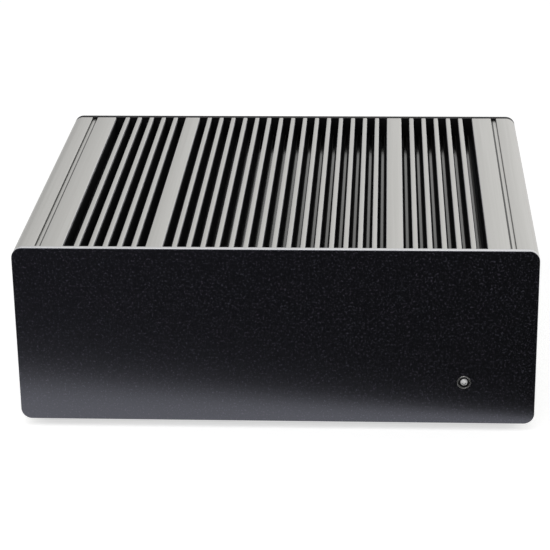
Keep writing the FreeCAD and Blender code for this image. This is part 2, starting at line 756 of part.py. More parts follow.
def display_socket(x, w, h, d, chamfer_right, chamfer_left):
    """Flat video socket: a thin shell with cut lower corners round a centre tongue."""
    z0 = z_parts
    y0 = y_ports - d

    def outline(inset):
        left, right = x - w / 2 + inset, x + w / 2 - inset
        low, high = z0 + inset, z0 + h - inset
        return [(left + chamfer_left, low), (right - chamfer_right, low), (right, low + chamfer_right),
                (right, high), (left, high), (left, low + chamfer_left)]

    body = prism_y(outline(0), y0, d)
    mouth = prism_y(outline(shell_wall), y_ports - d * mouth_share, d)
    half, z1 = w / 2 - video_tongue_inset, z0 + (h + video_tongue_t) / 2
    tongue = block(x - half, x + half, y0 + bury, y_ports - video_tongue_back, z1 - video_tongue_t, z1)
    return body.cut(mouth).fuse(tongue)


def hdmi_port():
    return display_socket(hdmi_x, hdmi_w, hdmi_h, hdmi_d, hdmi_chamfer, hdmi_chamfer)


def display_port():
    return display_socket(dp_x, dp_w, dp_h, dp_d, dp_corner, dp_chamfer)


serial_x, serial_w, serial_h = 35.0, 30.8, 12.6
serial_d, serial_flange_t, serial_body_drop = 12.0, 0.9, 1.5
d_shell_w, d_shell_h, d_shell_len = 16.9, 8.4, 5.9
d_slant, d_corner = 0.9, 1.6
screw_pitch = 25.0
jackscrew_af, jackscrew_len, jackscrew_floor, jackscrew_shank = 4.8, 4.6, 1.0, 5.5
pin_pitch_x, pin_pitch_z, serial_pin_w, pin_back = 2.77, 2.84, 1.0, 0.7
y_flange = y_shield - shield_t                    # the flange seats behind the shield
serial_z = z_parts + serial_h / 2


def d_outline(grow):
    """D shape, wider at the top, grown outwards all round."""
    w, h, c = d_shell_w / 2 + grow, d_shell_h / 2 + grow, d_corner
    upper = [(w, h - c), (w - c, h), (-w + c, h), (-w, h - c)]
    lower = [(-w + d_slant, -h + c), (-w + d_slant + c, -h), (w - d_slant - c, -h), (w - d_slant, -h + c)]
    return [(serial_x + x, serial_z + z) for x, z in upper + lower]


def serial_port():
    """Nine-pin D connector: block, flange, thin shell and two rows of pins."""
    x0, x1, y0 = serial_x - serial_w / 2, serial_x + serial_w / 2, y_flange - serial_flange_t
    body = block(x0, x1, y_flange - serial_d, y0, z_parts, z_parts + serial_h - serial_body_drop)
    flange = block(x0, x1, y0, y_flange, z_parts, z_parts + serial_h)
    shell = prism_y(d_outline(0), y_flange - bury, d_shell_len + bury)
    shell = shell.cut(prism_y(d_outline(-shell_wall), y_flange, d_shell_len + over))
    pins = [hexagon(x, y_flange - bury, z, serial_pin_w, d_shell_len - pin_back, AXIS_Y)
            for x, z in pin_places()]
    depth = jackscrew_shank - shield_t + hole_fit
    holes = [bore(x, y_flange - depth, serial_z, m3_r + thread_fit, depth + over, AXIS_Y)
             for x in jackscrew_x()]
    return cut_all(body.fuse([flange, shell]).fuse(pins), holes)


def pin_places():
    """Five pins in the upper row and four below, set between them."""
    rows = ((pin_pitch_z / 2, 5), (-pin_pitch_z / 2, 4))
    return [(serial_x + (k - (count - 1) / 2) * pin_pitch_x, serial_z + z)
            for z, count in rows for k in range(count)]


def jackscrew_x():
    return [serial_x + s * screw_pitch / 2 for s in (-1, 1)]


def serial_jackscrews():
    """Hexagonal posts that hold the serial port to the shield and take the plug's screws."""
    posts = []
    for x in jackscrew_x():
        body = hexagon(x, y_shield, serial_z, jackscrew_af, jackscrew_len, AXIS_Y)
        body = body.cut(bore(x, y_shield + jackscrew_floor, serial_z, m3_r, jackscrew_len, AXIS_Y))
        shank = post(x, y_shield + bury, serial_z, m3_r, shank_sides, jackscrew_shank + bury, AXIS_Y * -1)
        posts.append(body.fuse(shank))
    return posts


audio_x, audio_w, audio_d, audio_h = -70.0, 12.0, 11.0, 24.5
audio_z = (6.6, 18.0)
audio_hole_r, audio_hole_depth, audio_collar_r, collar_len = 1.8, 12.0, 3.2, 1.4


def audio_jacks():
    """Two stacked round sockets with collars that reach through the shield."""
    y1 = y_ports - collar_len
    body = block(audio_x - audio_w / 2, audio_x + audio_w / 2, y1 - audio_d, y1, z_parts, z_parts + audio_h)
    y0 = y_ports - audio_hole_depth
    collars = [post(audio_x, y1 - bury, z_parts + z, audio_collar_r, round_sides, collar_len + bury, AXIS_Y)
               for z in audio_z]
    holes = [post(audio_x, y0, z_parts + z, audio_hole_r, head_sides, audio_hole_depth + over, AXIS_Y)
             for z in audio_z]
    return cut_all(body.fuse(collars), holes)


power_x, power_w, power_d, power_h = 71.5, 9.4, 14.4, 11.0
power_z, power_hole_r, power_hole_depth, power_pin_r, power_pin_back = 6.4, 3.2, 9.5, 1.25, 0.7


def dc_jack():
    """Barrel socket for the supply lead, with its centre pin."""
    x0, x1 = power_x - power_w / 2, power_x + power_w / 2
    body = block(x0, x1, y_ports - power_d, y_ports, z_parts, z_parts + power_h)
    y0, z = y_ports - power_hole_depth, z_parts + power_z
    hole = post(power_x, y0, z, power_hole_r, round_sides, power_hole_depth + over, AXIS_Y)
    pin_len = power_hole_depth - power_pin_back + bury
    pin = post(power_x, y0 - bury, z, power_pin_r, shank_sides, pin_len, AXIS_Y)
    return body.cut(hole).fuse(pin)


terminal_x, terminal_w, terminal_d, terminal_h = 58.0, 9.6, 10.0, 8.4
terminal_pitch, terminal_pin_w = 3.81, 1.0
terminal_wall, terminal_mouth, terminal_pin_back = 0.9, 7.0, 1.5


def switch_terminal():
    """Two-way header for a remote power switch: a walled mouth with two pins."""
    x, y1, side = terminal_x, y_ports, terminal_pin_w

    def walls(inset, y0, past):
        return block(x - terminal_w / 2 + inset, x + terminal_w / 2 - inset, y0, y1 + past,
                     z_parts + inset, z_parts + terminal_h - inset)

    body = walls(0, y1 - terminal_d, 0).cut(walls(terminal_wall, y1 - terminal_mouth, over))
    z, y0 = z_parts + (terminal_h - side) / 2, y1 - terminal_mouth - bury
    pins = [block(px - side / 2, px + side / 2, y0, y1 - terminal_pin_back, z, z + side)
            for px in (x - terminal_pitch / 2, x + terminal_pitch / 2)]
    return body.fuse(pins)


def port_windows():
    """Connectors that come through a square opening in the shield: centre, width and height."""
    ports = [(x, lan_w, lan_h) for x in lan_x]
    ports += [(hdmi_x, hdmi_w, hdmi_h), (dp_x, dp_w, dp_h)]
    return ports + [(power_x, power_w, power_h), (terminal_x, terminal_w, terminal_h)]


rim_w = 1.4                 # shield lip behind the rear plate


def io_shield():
    """Pressed sheet tray that fills the rear window, with a lip behind the plate and a hole for each port."""
    y0, z0, z1 = y_cover1 - shield_t, io_z0, io_z0 + io_h
    half = io_w / 2

    def frame(grow, a, b):
        return block(-half - grow, half + grow, a, b, z0 - grow, z1 + grow)

    inner = -seat_fit - shield_t
    tray = frame(-seat_fit, y0, y_shield).cut(frame(inner, y0 - over, y_shield - shield_t))
    lip = frame(rim_w, y0, y_cover1).cut(frame(inner, y0 - over, y_cover1 + over))
    a, b = y_shield - shield_t - over, y_shield + over
    low = z_parts - port_fit
    tools = [block(x - w / 2 - port_fit, x + w / 2 + port_fit, a, b, low, z_parts + h + port_fit)
             for x, w, h in port_windows()]
    tools.append(prism_y(d_outline(port_fit), a, b - a))
    tools += [bore(x, a, serial_z, m3_r + hole_fit, b - a, AXIS_Y) for x in jackscrew_x()]
    tools += [post(audio_x, a, z_parts + z, audio_collar_r + port_fit, round_sides, b - a, AXIS_Y)
              for z in audio_z]
    return cut_all(tray.fuse(lip), tools)


# ---------------------------------------------------------------- write every piece
os.makedirs("parts", exist_ok=True)
save("heatsink_cover", heatsink_cover())
save("front_plate", front_plate())
save("front_plate_screws", *front_plate_screws())
save("front_fascia", front_fascia())
save("led_bezel", led_bezel())
save("led_nut", led_nut())
save("status_led", status_led())
save("lamp_sleeve", lamp_sleeve())
save("lamp_lead", lamp_lead())
save("lamp_plug", lamp_plug())
save("lamp_header", lamp_header())
save("rear_plate", rear_plate())
save("rear_plate_screws", *rear_plate_screws())
save("io_shield", io_shield())
save("base_plate", base_plate())
save("base_screws", *base_screws())
save("rubber_feet", *rubber_feet())
save("foot_screws", *foot_screws())
save("standoffs", *standoffs())
save("mainboard", mainboard())
save("mainboard_screws", *mainboard_screws())
save("cpu_package", cpu_package())
save("cpu_pad", cpu_pad())
save("heat_riser", heat_riser())
save("roof_pad", roof_pad())
save("riser_screws", *riser_screws())
save("back_plate", back_plate())
save("memory_socket", memory_socket())
save("memory_module", memory_module())
save("ssd_socket", ssd_socket())
save("ssd_module", ssd_module())
save("ssd_post", ssd_post())
save("ssd_screw", ssd_screw())
save("cell_holder", cell_holder())
save("coin_cell", coin_cell())
save("inductors", *inductors())
save("capacitors", *capacitors())
save("interface_chips", *interface_chips())
for number, x in enumerate(lan_x, 1):
    save("lan_usb_port_" + str(number), lan_usb_port(x))
save("hdmi_port", hdmi_port())
save("display_port", display_port())
save("serial_port", serial_port())
save("serial_jackscrews", *serial_jackscrews())
save("audio_jacks", audio_jacks())
save("dc_jack", dc_jack())
save("switch_terminal", switch_terminal())
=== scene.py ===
"""Looks of the fanless industrial PC, put together in the order in which it is built. Metres; X runs to
the right seen from the front, Y from front to rear, Z up."""
import math

import bmesh
import bpy
import numpy as np
from mathutils import Matrix, Vector


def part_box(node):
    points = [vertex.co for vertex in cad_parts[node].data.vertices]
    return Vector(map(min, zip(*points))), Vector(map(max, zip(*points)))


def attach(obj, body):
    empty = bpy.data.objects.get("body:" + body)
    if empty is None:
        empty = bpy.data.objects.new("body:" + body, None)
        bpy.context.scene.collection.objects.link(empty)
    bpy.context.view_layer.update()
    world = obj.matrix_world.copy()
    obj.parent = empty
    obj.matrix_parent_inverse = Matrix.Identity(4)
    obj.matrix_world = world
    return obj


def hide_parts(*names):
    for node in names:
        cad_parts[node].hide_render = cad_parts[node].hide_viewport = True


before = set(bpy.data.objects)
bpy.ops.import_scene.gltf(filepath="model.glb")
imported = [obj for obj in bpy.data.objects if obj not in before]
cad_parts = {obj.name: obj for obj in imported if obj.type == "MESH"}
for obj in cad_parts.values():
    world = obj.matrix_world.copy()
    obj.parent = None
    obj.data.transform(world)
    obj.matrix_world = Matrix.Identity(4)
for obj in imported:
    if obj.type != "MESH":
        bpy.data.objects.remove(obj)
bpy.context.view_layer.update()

mm = 0.001

# -------------------- base plate
# A 3 mm aluminium sheet, cut, brushed and anodised black. It lies in the cover's rebate, held by four
# countersunk screws, and carries the standoffs, the feet and the threaded holes for a bracket.


def linear(colour):
    """sRGB hex colour as linear red, green, blue and alpha: below 0.04 a division, above it a power of
    2.4."""
    srgb = np.array([int(colour[k:k + 2], 16) for k in (1, 3, 5)]) / 255
    straight = np.where(srgb <= 0.04045, srgb / 12.92, ((srgb + 0.055) / 1.055) ** 2.4)
    return (*straight.tolist(), 1.0)


def add(tree, kind, inputs=(), **settings):
    """Adds one shader node. Settings are its properties; inputs are its sockets, each a value, an output
    of another node, or a node, which gives its first output."""
    made = tree.nodes.new("ShaderNode" + kind)
    for name, value in settings.items():
        setattr(made, name, value)
    for key, value in dict(inputs).items():
        if isinstance(value, bpy.types.Node):
            value = value.outputs[0]
        if isinstance(value, bpy.types.NodeSocket):
            tree.links.new(value, made.inputs[key])
        else:
            made.inputs[key].default_value = value
    return made


def start(name):
    """A new material with no nodes, its tree, and the place on the object that its patterns read."""
    material = bpy.data.materials.new(name)
    material.use_nodes = True
    tree = material.node_tree
    tree.nodes.clear()
    return material, tree, add(tree, "TexCoord").outputs["Object"]


def surface(tree, place, low, high, size, roughness, grit=None, stretch=(1, 1, 1), depth=0.0,
            **constants):
    """Finish with a two-tone mottle of the given size, roughness that follows it, and an optional fine
    grit in the relief. constants are the shader's own sockets, with underscores for spaces."""
    spread = add(tree, "Mapping", {"Vector": place, "Scale": [1 / (size * k) for k in stretch]})
    mottle = add(tree, "TexNoise", {"Vector": spread, "Scale": 1.0, "Detail": 3.0})
    tone = add(tree, "Mix", {0: mottle.outputs["Fac"], 6: linear(low), 7: linear(high)}, data_type="RGBA")
    rough = add(tree, "MapRange", {"Value": mottle.outputs["Fac"], "To Min": roughness[0],
                                   "To Max": roughness[1]})
    sockets = {name.replace("_", " "): value for name, value in constants.items()}
    sockets.update({"Base Color": tone.outputs[2], "Roughness": rough})
    if grit:
        grain = add(tree, "TexNoise", {"Vector": place, "Scale": 1 / grit, "Detail": 2.0})
        bump = add(tree, "Bump", {"Height": grain.outputs["Fac"], "Distance": depth, "Strength": 0.6})
        sockets["Normal"] = bump
    shader = add(tree, "BsdfPrincipled", sockets)
    add(tree, "OutputMaterial", {"Surface": shader})
    return shader


def dress(material, *names):
    """Gives CAD nodes their finish."""
    for name in names:
        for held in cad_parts[name].material_slots:
            held.material = material


# Black anodised aluminium sheet: near black with only a dull sheen, and the fine scratch of the brush.
black_anodised, tree, place = start("black_anodised_sheet")
surface(tree, place, "#0c0c0d", "#171719", 6 * mm, (0.5, 0.64), grit=0.35 * mm, depth=0.01 * mm,
        stretch=(8, 1, 8), Specular_IOR_Level=0.2)
dress(black_anodised, "base_plate")

# Turned brass for the pressed-in posts: yellow metal with faint turning marks.
turned_brass, tree, place = start("turned_brass")
surface(tree, place, "#b08d49", "#c9a662", 2 * mm, (0.25, 0.38), stretch=(1, 1, 0.2), Metallic=1.0)
dress(turned_brass, "standoffs", "ssd_post")

# Zinc plate on small screws: pale grey metal, slightly cloudy.
zinc_plate, tree, place = start("zinc_plated_steel")
surface(tree, place, "#a9abb0", "#c0c1c4", 1.2 * mm, (0.28, 0.42), Metallic=1.0)
dress(zinc_plate, "mainboard_screws", "riser_screws", "ssd_screw", "front_plate_screws")

# -------------------- rubber feet
# Four black rubber feet, moulded with a rounded rim and a counterbore, each held by one screw into the
# base.


def put(name, points, faces, material):
    """New object in the scene: one mesh of one material, its points in metres."""
    mesh = bpy.data.meshes.new(name)
    mesh.from_pydata(points, [], faces)
    mesh.materials.append(material)
    made = bpy.data.objects.new(name, mesh)
    bpy.context.scene.collection.objects.link(made)
    return made


def skin(name, grids, material, along=False, caps=False, crease=32):
    """Piece made of grids of points in millimetres, ring after ring: four-sided faces join each point to
    its neighbours. A ring always closes on itself, and along closes the grid the other way too. caps
    fills the first and last rings. Points that meet at a pole are merged, and the faces turn outwards.
    Edges sharper than crease, in degrees, stay sharp."""
    points, faces, first = [], [], 0
    for grid in grids:
        rings, count = grid.shape[:2]
        index = first + np.arange(rings * count).reshape(rings, count)
        here = index if along else index[:-1]
        there = np.roll(index, -1, 0) if along else index[1:]
        quads = np.stack([here, np.roll(here, -1, 1), np.roll(there, -1, 1), there], -1)
        faces += quads.reshape(-1, 4).tolist()
        if caps:
            faces += [index[0, ::-1].tolist(), index[-1].tolist()]
        points.append(grid.reshape(-1, 3))
        first += rings * count
    piece = put(name, (np.concatenate(points) * mm).tolist(), faces, material)
    mesh, same_point = piece.data, 1e-7
    joined = bmesh.new()
    joined.from_mesh(mesh)
    bmesh.ops.remove_doubles(joined, verts=joined.verts, dist=same_point)
    bmesh.ops.recalc_face_normals(joined, faces=joined.faces)
    joined.to_mesh(mesh)
    joined.free()
    mesh.polygons.foreach_set("use_smooth", np.ones(len(mesh.polygons), bool))
    mesh.set_sharp_from_angle(angle=math.radians(crease))
    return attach(piece, "root")


def stand_for(piece, slot, *nodes):
    """The piece takes the place of CAD nodes, which are hidden. slot, one of the record's finishes, is
    not used.
    """
    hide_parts(*nodes)


def span(node):
    """Lowest and highest corner of a CAD node in millimetres."""
    return [np.array(corner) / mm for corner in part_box(node)]


def corners(low, high, inset):
    """The four points of a rectangle drawn in by an inset; low and high may be corners of a box."""
    return [(a, b) for a in (low[0] + inset, high[0] - inset) for b in (low[1] + inset, high[1] - inset)]


def quarter(r, start_at, end_at, steps=5):
    """Arc of a rounded edge: radius r at angles that run evenly between two values in degrees."""
    angle = np.radians(np.linspace(start_at, end_at, steps + 1))
    return np.stack([r * np.cos(angle), r * np.sin(angle)], -1)


def turned(profile, place, axis=(0, 0, 1), sides=48, recess=0, shape=None):
    """Solid of revolution. profile lists radius and height along the axis, and each becomes a ring of
    points at equal angles. In the last rings, as many as recess, shape scales the radius by angle."""
    axis = np.array(axis, float)
    across = np.cross(axis, (0, 0, 1)) if abs(axis[2]) < 0.9 else np.array((1.0, 0, 0))
    upright = np.cross(axis, across)
    angle = np.linspace(0, 2 * np.pi, sides, endpoint=False)
    radius = np.array([p[0] for p in profile])[:, None] * np.ones(sides)
    if recess:
        radius[-recess:] *= shape(angle)
    height = np.array([p[1] for p in profile])[:, None, None] * axis
    ring = radius[..., None] * (np.cos(angle)[:, None] * across + np.sin(angle)[:, None] * upright)
    return ring + height + np.array(place, float)


# Moulded rubber: matte black that goes a little grey where it is handled.
moulded_rubber, tree, place = start("moulded_rubber")
surface(tree, place, "#101011", "#1b1b1c", 4 * mm, (0.62, 0.8), grit=0.3 * mm, depth=0.03 * mm)
foot_r, foot_rim, seat_r, bore_r, seat_depth = 10.0, 1.0, 3.05, 1.75, 2.2
low, high = span("rubber_feet")
rim = quarter(foot_rim, -90, 0) + (foot_r - foot_rim, foot_rim)
profile = [(seat_r, 0), *rim, (foot_r, high[2]), (bore_r, high[2]), (bore_r, seat_depth),
           (seat_r, seat_depth)]
grids = [turned(profile, (x, y, 0)) for x, y in corners(low, high, foot_r)]
feet = skin("rubber_foot_set", grids, moulded_rubber, along=True)
stand_for(feet, "rubber", "rubber_feet")

# -------------------- base and foot screws
# Steel M3 screws with a cross recess: four countersunk ones, black, hold the base in the cover, and four
# round headed ones, zinc plated, hold the feet.


def cross_recess(angle):
    """Outline of a cross of two bars that are a third as wide as long: at each angle, the further of
    the two bars' edges as a share of half their length."""
    width, tiny = 0.32, 1e-9
    c, s = np.abs(np.cos(angle)) + tiny, np.abs(np.sin(angle)) + tiny
    return np.maximum(np.minimum(1 / c, width / s), np.minimum(width / c, 1 / s))


def screw(place, axis, head, shank_r, length, socket_r, socket_depth, shape):
    """Screw from its tip up the shank, round the head's rings and down into a recess of the given
    shape, which ends in a shallow cone. axis points into the work."""
    tip, edge, cone = 0.3, 0.12, 0.3
    top = head[-1][1]
    floor = top + socket_depth
    shank = [(0, length), (shank_r - tip, length), (shank_r, length - tip)]
    socket = [(socket_r + edge, top), (socket_r, top + edge), (socket_r, floor),
              (socket_r * 0.3, floor + cone), (0, floor + cone)]
    return turned([*shank, *head, *socket], place, axis, 48, len(socket), shape)


def domed(shank_r, head_r, width, height, end_at, steps):
    """Rings of a head: flat under it, a straight rim, and a dome that stops short of its middle."""
    rim_h = 0.4
    dome = quarter(1.0, 0, end_at, steps) * (width, -height) + (head_r - width, -rim_h)
    return [(shank_r, 0), (head_r, 0), *dome]


m3_r = 1.5
# Black oxide on machine screws: darker and a little shinier than the sheet.
black_oxide, tree, place = start("black_oxide_steel")
surface(tree, place, "#131314", "#232325", 1.5 * mm, (0.3, 0.42), Metallic=0.5)
low, high = span("base_screws")
csk_r, socket_r, socket_depth = 2.8, 1.5, 1.2
head = [(m3_r, csk_r - m3_r), (csk_r, 0.05), (csk_r - 0.1, 0)]
grids = [screw((x, y, low[2]), (0, 0, 1), head, m3_r, high[2] - low[2], socket_r, socket_depth,
               cross_recess)
         for x, y in corners(low, high, csk_r)]
base_screws = skin("base_screw_set", grids, black_oxide)
stand_for(base_screws, "black_oxide_screw", "base_screws")

low, high = span("foot_screws")
head_r, head_h, socket_r, socket_depth = 2.8, 1.8, 1.4, 1.0
seat = low[2] + head_h
head = domed(m3_r, head_r, 1.2, 1.4, 80, 6)
grids = [screw((x, y, seat), (0, 0, 1), head, m3_r, high[2] - seat, socket_r, socket_depth, cross_recess)
         for x, y in corners(low, high, head_r)]
foot_screws = skin("foot_screw_set", grids, zinc_plate)
stand_for(foot_screws, "zinc_screw", "foot_screws")

# -------------------- mainboard and its parts
# A square industrial board on the four posts: green laminate with soldered parts, a processor under an
# aluminium block, a memory card, a storage card and a clock cell.

# Epoxy glass laminate under green solder mask: glossy green with the weave just showing.
board_laminate, tree, place = start("board_laminate")
surface(tree, place, "#0d3a22", "#124b2c", 3 * mm, (0.3, 0.4), grit=0.9 * mm, depth=0.01 * mm,
        Coat_Weight=0.3)
dress(board_laminate, "mainboard", "memory_module", "ssd_module")

# Moulded epoxy of chips and coils: dull charcoal with a fine grain.
chip_epoxy, tree, place = start("chip_epoxy")
surface(tree, place, "#18181a", "#222224", 2 * mm, (0.5, 0.65), grit=0.2 * mm, depth=0.01 * mm)
dress(chip_epoxy, "cpu_package", "inductors", "interface_chips")

# Glass-filled nylon of sockets and plugs: black with a slight sheen.
black_nylon, tree, place = start("black_nylon")
surface(tree, place, "#0f0f10", "#191919", 3 * mm, (0.4, 0.52), grit=0.25 * mm, depth=0.01 * mm)
dress(black_nylon, "memory_socket", "ssd_socket", "cell_holder", "lamp_plug", "lamp_header")

# Milled aluminium of the heat block: bright grey with the cutter's fine parallel marks.
milled_aluminium, tree, place = start("milled_aluminium")
surface(tree, place, "#b9bbbe", "#cfd0d2", 1.2 * mm, (0.26, 0.4), stretch=(20, 1, 1), Metallic=1.0)
dress(milled_aluminium, "heat_riser")

# Drawn aluminium of capacitor cans.
drawn_can, tree, place = start("drawn_can")
surface(tree, place, "#c2c3c6", "#d5d6d8", 1.5 * mm, (0.18, 0.3), stretch=(1, 1, 6), Metallic=1.0)
dress(drawn_can, "capacitors")

# Silicone heat pad: soft grey and slightly tacky.
heat_pad, tree, place = start("silicone_heat_pad")
surface(tree, place, "#6c7178", "#7b8087", 2 * mm, (0.55, 0.7), grit=0.4 * mm, depth=0.02 * mm)
dress(heat_pad, "cpu_pad", "roof_pad")

# Polished steel of the clock cell.
cell_steel, tree, place = start("cell_steel")
surface(tree, place, "#b4b6b9", "#c8c9cb", 3 * mm, (0.14, 0.24), Metallic=1.0)
dress(cell_steel, "coin_cell")

# Extruded PVC of the lamp's lead and sleeve: black and softly shiny.
lead_jacket, tree, place = start("lead_jacket")
surface(tree, place, "#121213", "#1a1a1b", 3 * mm, (0.42, 0.55))
dress(lead_jacket, "lamp_lead", "lamp_sleeve")

# Tin plate on pressed steel: bright grey, cloudy from rolling.
tin_plate, tree, place = start("tin_plated_steel")
surface(tree, place, "#b2b3b6", "#c6c7c9", 5 * mm, (0.22, 0.36), stretch=(6, 1, 1), Metallic=1.0)
dress(tin_plate, "back_plate", "io_shield")

# -------------------- finned cover
# One aluminium extrusion: roof with fins, both side walls and the corner bosses with their screw
# channels. Its face is bead blasted and anodised clear; the narrow gaps between the fins are darkened
# with painted shade.
fin_pitch, side_pitch, fin_t, fin_h = 6.5, 6.58, 2.2, 10.0
gap_root_w, gap_floor_w, lip = 3.4, 1.2, 0.3
mid_fins, side_fins, land_w, end_gap = 15, 5, 7.7, 5.2
groove_w, groove_depth, groove_inset = 2.7, 1.2, 11.75
corner_r = 5.0
roof_t, wall_t, rail_w, base_t = 4.0, 4.5, 7.0, 3.0
boss_w, boss_h, boss_chamfer = 17.5, 17.0, 3.0
case_low, case_high = span("heatsink_cover")
half_w, z_base, z_top = case_high[0], case_low[2], case_high[2]
z_gap, z_roof, z_floor = z_top - fin_h, z_top - fin_h - roof_t, z_base + base_t


def half_channel(width, depth, root_w, floor_w, wider=0.0):
    """Half of a channel's outline from its middle outwards: flat floor, slope, wall that opens slightly
    and a lip rounded by a quarter turn. Gives distance from the middle and height below the face. The
    slope is at 45 degrees, unless wider moves the wall out and flattens it."""
    rise = (root_w - floor_w) / 2
    floor = [(0, -depth), (floor_w / 2, -depth), (root_w / 2 + wider, rise - depth)]
    edge = quarter(lip, 180, 90, 3) + (width / 2 + wider + lip, -lip)
    return np.concatenate([floor, edge])


def channel(middle, left, right):
    """Whole channel from left to right, out of its two halves."""
    return np.concatenate([left[:0:-1] * (-1, 1), right]) + middle


def top_channels():
    """Middle of each channel across the top with its left and right halves, in order from left to
    right. The gap beside each outer land has its outer wall further out."""
    gap = fin_pitch - fin_t
    fin_gap = half_channel(gap, fin_h, gap_root_w, gap_floor_w)
    wide_gap = half_channel(gap, fin_h, gap_root_w, gap_floor_w, end_gap - gap)
    floor_w = groove_w - 0.2
    groove = half_channel(groove_w, groove_depth, floor_w, floor_w)
    first = (mid_fins + 1) / 2 * fin_pitch - fin_t / 2 + land_w + gap / 2
    right = [(first + k * side_pitch, fin_gap, fin_gap) for k in range(side_fins)]
    right += [(first + side_fins * side_pitch, fin_gap, wide_gap),
              (half_w - groove_inset, groove, groove)]
    middle = [((k - mid_fins / 2) * fin_pitch, fin_gap, fin_gap) for k in range(mid_fins + 1)]
    return [(-x, far, near) for x, near, far in reversed(right)] + middle + right


def cover_outline():
    """Closed outline of the extrusion, clockwise from its lower left corner: side, top with its
    channels, side, and back along the inside. Side grooves are the top groove turned by a quarter."""
    groove = top_channels()[-1][1]
    turned_groove = channel((0, 0), groove, groove)[:, ::-1] * (1, -1)
    on_right = np.concatenate([turned_groove + (half_w, z)
                               for z in (z_top - groove_inset, z_base + groove_inset)])
    round_top = quarter(corner_r, 90, 0, 10) + (half_w - corner_r, z_top - corner_r)
    round_low = quarter(corner_r, 0, -90, 10) + (half_w - corner_r, z_base + corner_r)
    wall_x, rail_x, boss_x = half_w - wall_t, half_w - rail_w, half_w - boss_w
    low, high = z_base + boss_h, z_roof - boss_chamfer
    inside = [(rail_x, z_base), (rail_x, z_floor), (boss_x, z_floor), (boss_x, low - boss_chamfer),
              (boss_x + boss_chamfer, low), (wall_x, low), (wall_x, high), (boss_x + boss_chamfer, high),
              (boss_x, z_roof)]
    right = np.concatenate([round_top, on_right, round_low, inside])
    top = np.concatenate([channel((x, z_top), near, far) for x, near, far in top_channels()])
    return np.concatenate([top, right, right[::-1] * (-1, 1)])


def drawn(*rings):
    """Grid from outlines of x and z, each with its place along y."""
    return np.stack([np.insert(outline, 1, y, axis=1) for outline, y in rings])


# Clear anodised aluminium, bead blasted: warm pale grey with faint lines along the extrusion. The gaps
# between the fins darken quickly with depth to a dull charcoal of painted shade, over a smoother, shinier
# floor painted lighter as a highlight. The broken edges of the fins carry a painted highlight, and the
# corners of the trim grooves a thin line of painted shade. The edge highlight and the shade set in over a
# range of depth below the face, and the dull wall and the floor's gloss over a range of height above the
# floor.
lip_highlight_at, shade_at, wall_at, gloss_at = (0.02, 0.1), (0.4, 1.8), (0.1, 0.34), (0.8, 1.6)
clear_anodised, tree, place = start("clear_anodised_aluminium")
lines = add(tree, "Mapping", {"Vector": place, "Scale": (1 / (0.8 * mm), 1 / (90 * mm), 1 / (0.8 * mm))})
streak = add(tree, "TexNoise", {"Vector": lines, "Scale": 1.0, "Detail": 2.0})
blast = add(tree, "TexNoise", {"Vector": place, "Scale": 1 / (0.35 * mm), "Detail": 2.0})
face_tone = add(tree, "Mix", {0: streak.outputs["Fac"], 6: linear("#bebdb9"), 7: linear("#cccbc8")},
                data_type="RGBA")
at = add(tree, "SeparateXYZ", {"Vector": place})
out_x = add(tree, "Math", {0: at.outputs["X"]}, operation="ABSOLUTE")
depth_in_gap = add(tree, "MapRange", {"Value": at.outputs["Z"], "From Min": (z_top - shade_at[0]) * mm,
                                      "From Max": (z_top - shade_at[1]) * mm},
                   interpolation_type="SMOOTHSTEP")
above_floor = add(tree, "MapRange", {"Value": at.outputs["Z"], "From Min": (z_gap + wall_at[0]) * mm,
                                     "From Max": (z_gap + wall_at[1]) * mm})
among_fins = add(tree, "Math", {0: out_x, 1: (half_w - groove_inset - groove_w) * mm},
                 operation="LESS_THAN")
painted_gap_mask = add(tree, "Math", {0: depth_in_gap, 1: among_fins}, operation="MULTIPLY")
painted_wall_shade = add(tree, "Math", {0: painted_gap_mask, 1: above_floor}, operation="MULTIPLY")
# Painted highlight along the fins' broken edges, just below the face.
painted_lip_highlight = add(tree, "MapRange", {"Value": at.outputs["Z"], "From Min": (z_top - lip_highlight_at[0]) * mm,
                              "From Max": (z_top - lip_highlight_at[1]) * mm})
painted_lip_highlight = add(tree, "Math", {0: painted_lip_highlight, 1: among_fins}, operation="MULTIPLY")
tone = add(tree, "Mix", {0: painted_lip_highlight, 6: face_tone.outputs[2], 7: linear("#dedee0")}, data_type="RGBA")
# Painted highlight: the floors of the gaps are lighter than the face.
tone = add(tree, "Mix", {0: painted_gap_mask, 6: tone.outputs[2], 7: linear("#f2f2f4")}, data_type="RGBA")
# Painted shade: the gap walls turn dull charcoal with depth.
tone = add(tree, "Mix", {0: painted_wall_shade, 6: tone.outputs[2], 7: linear("#19191b")}, data_type="RGBA")

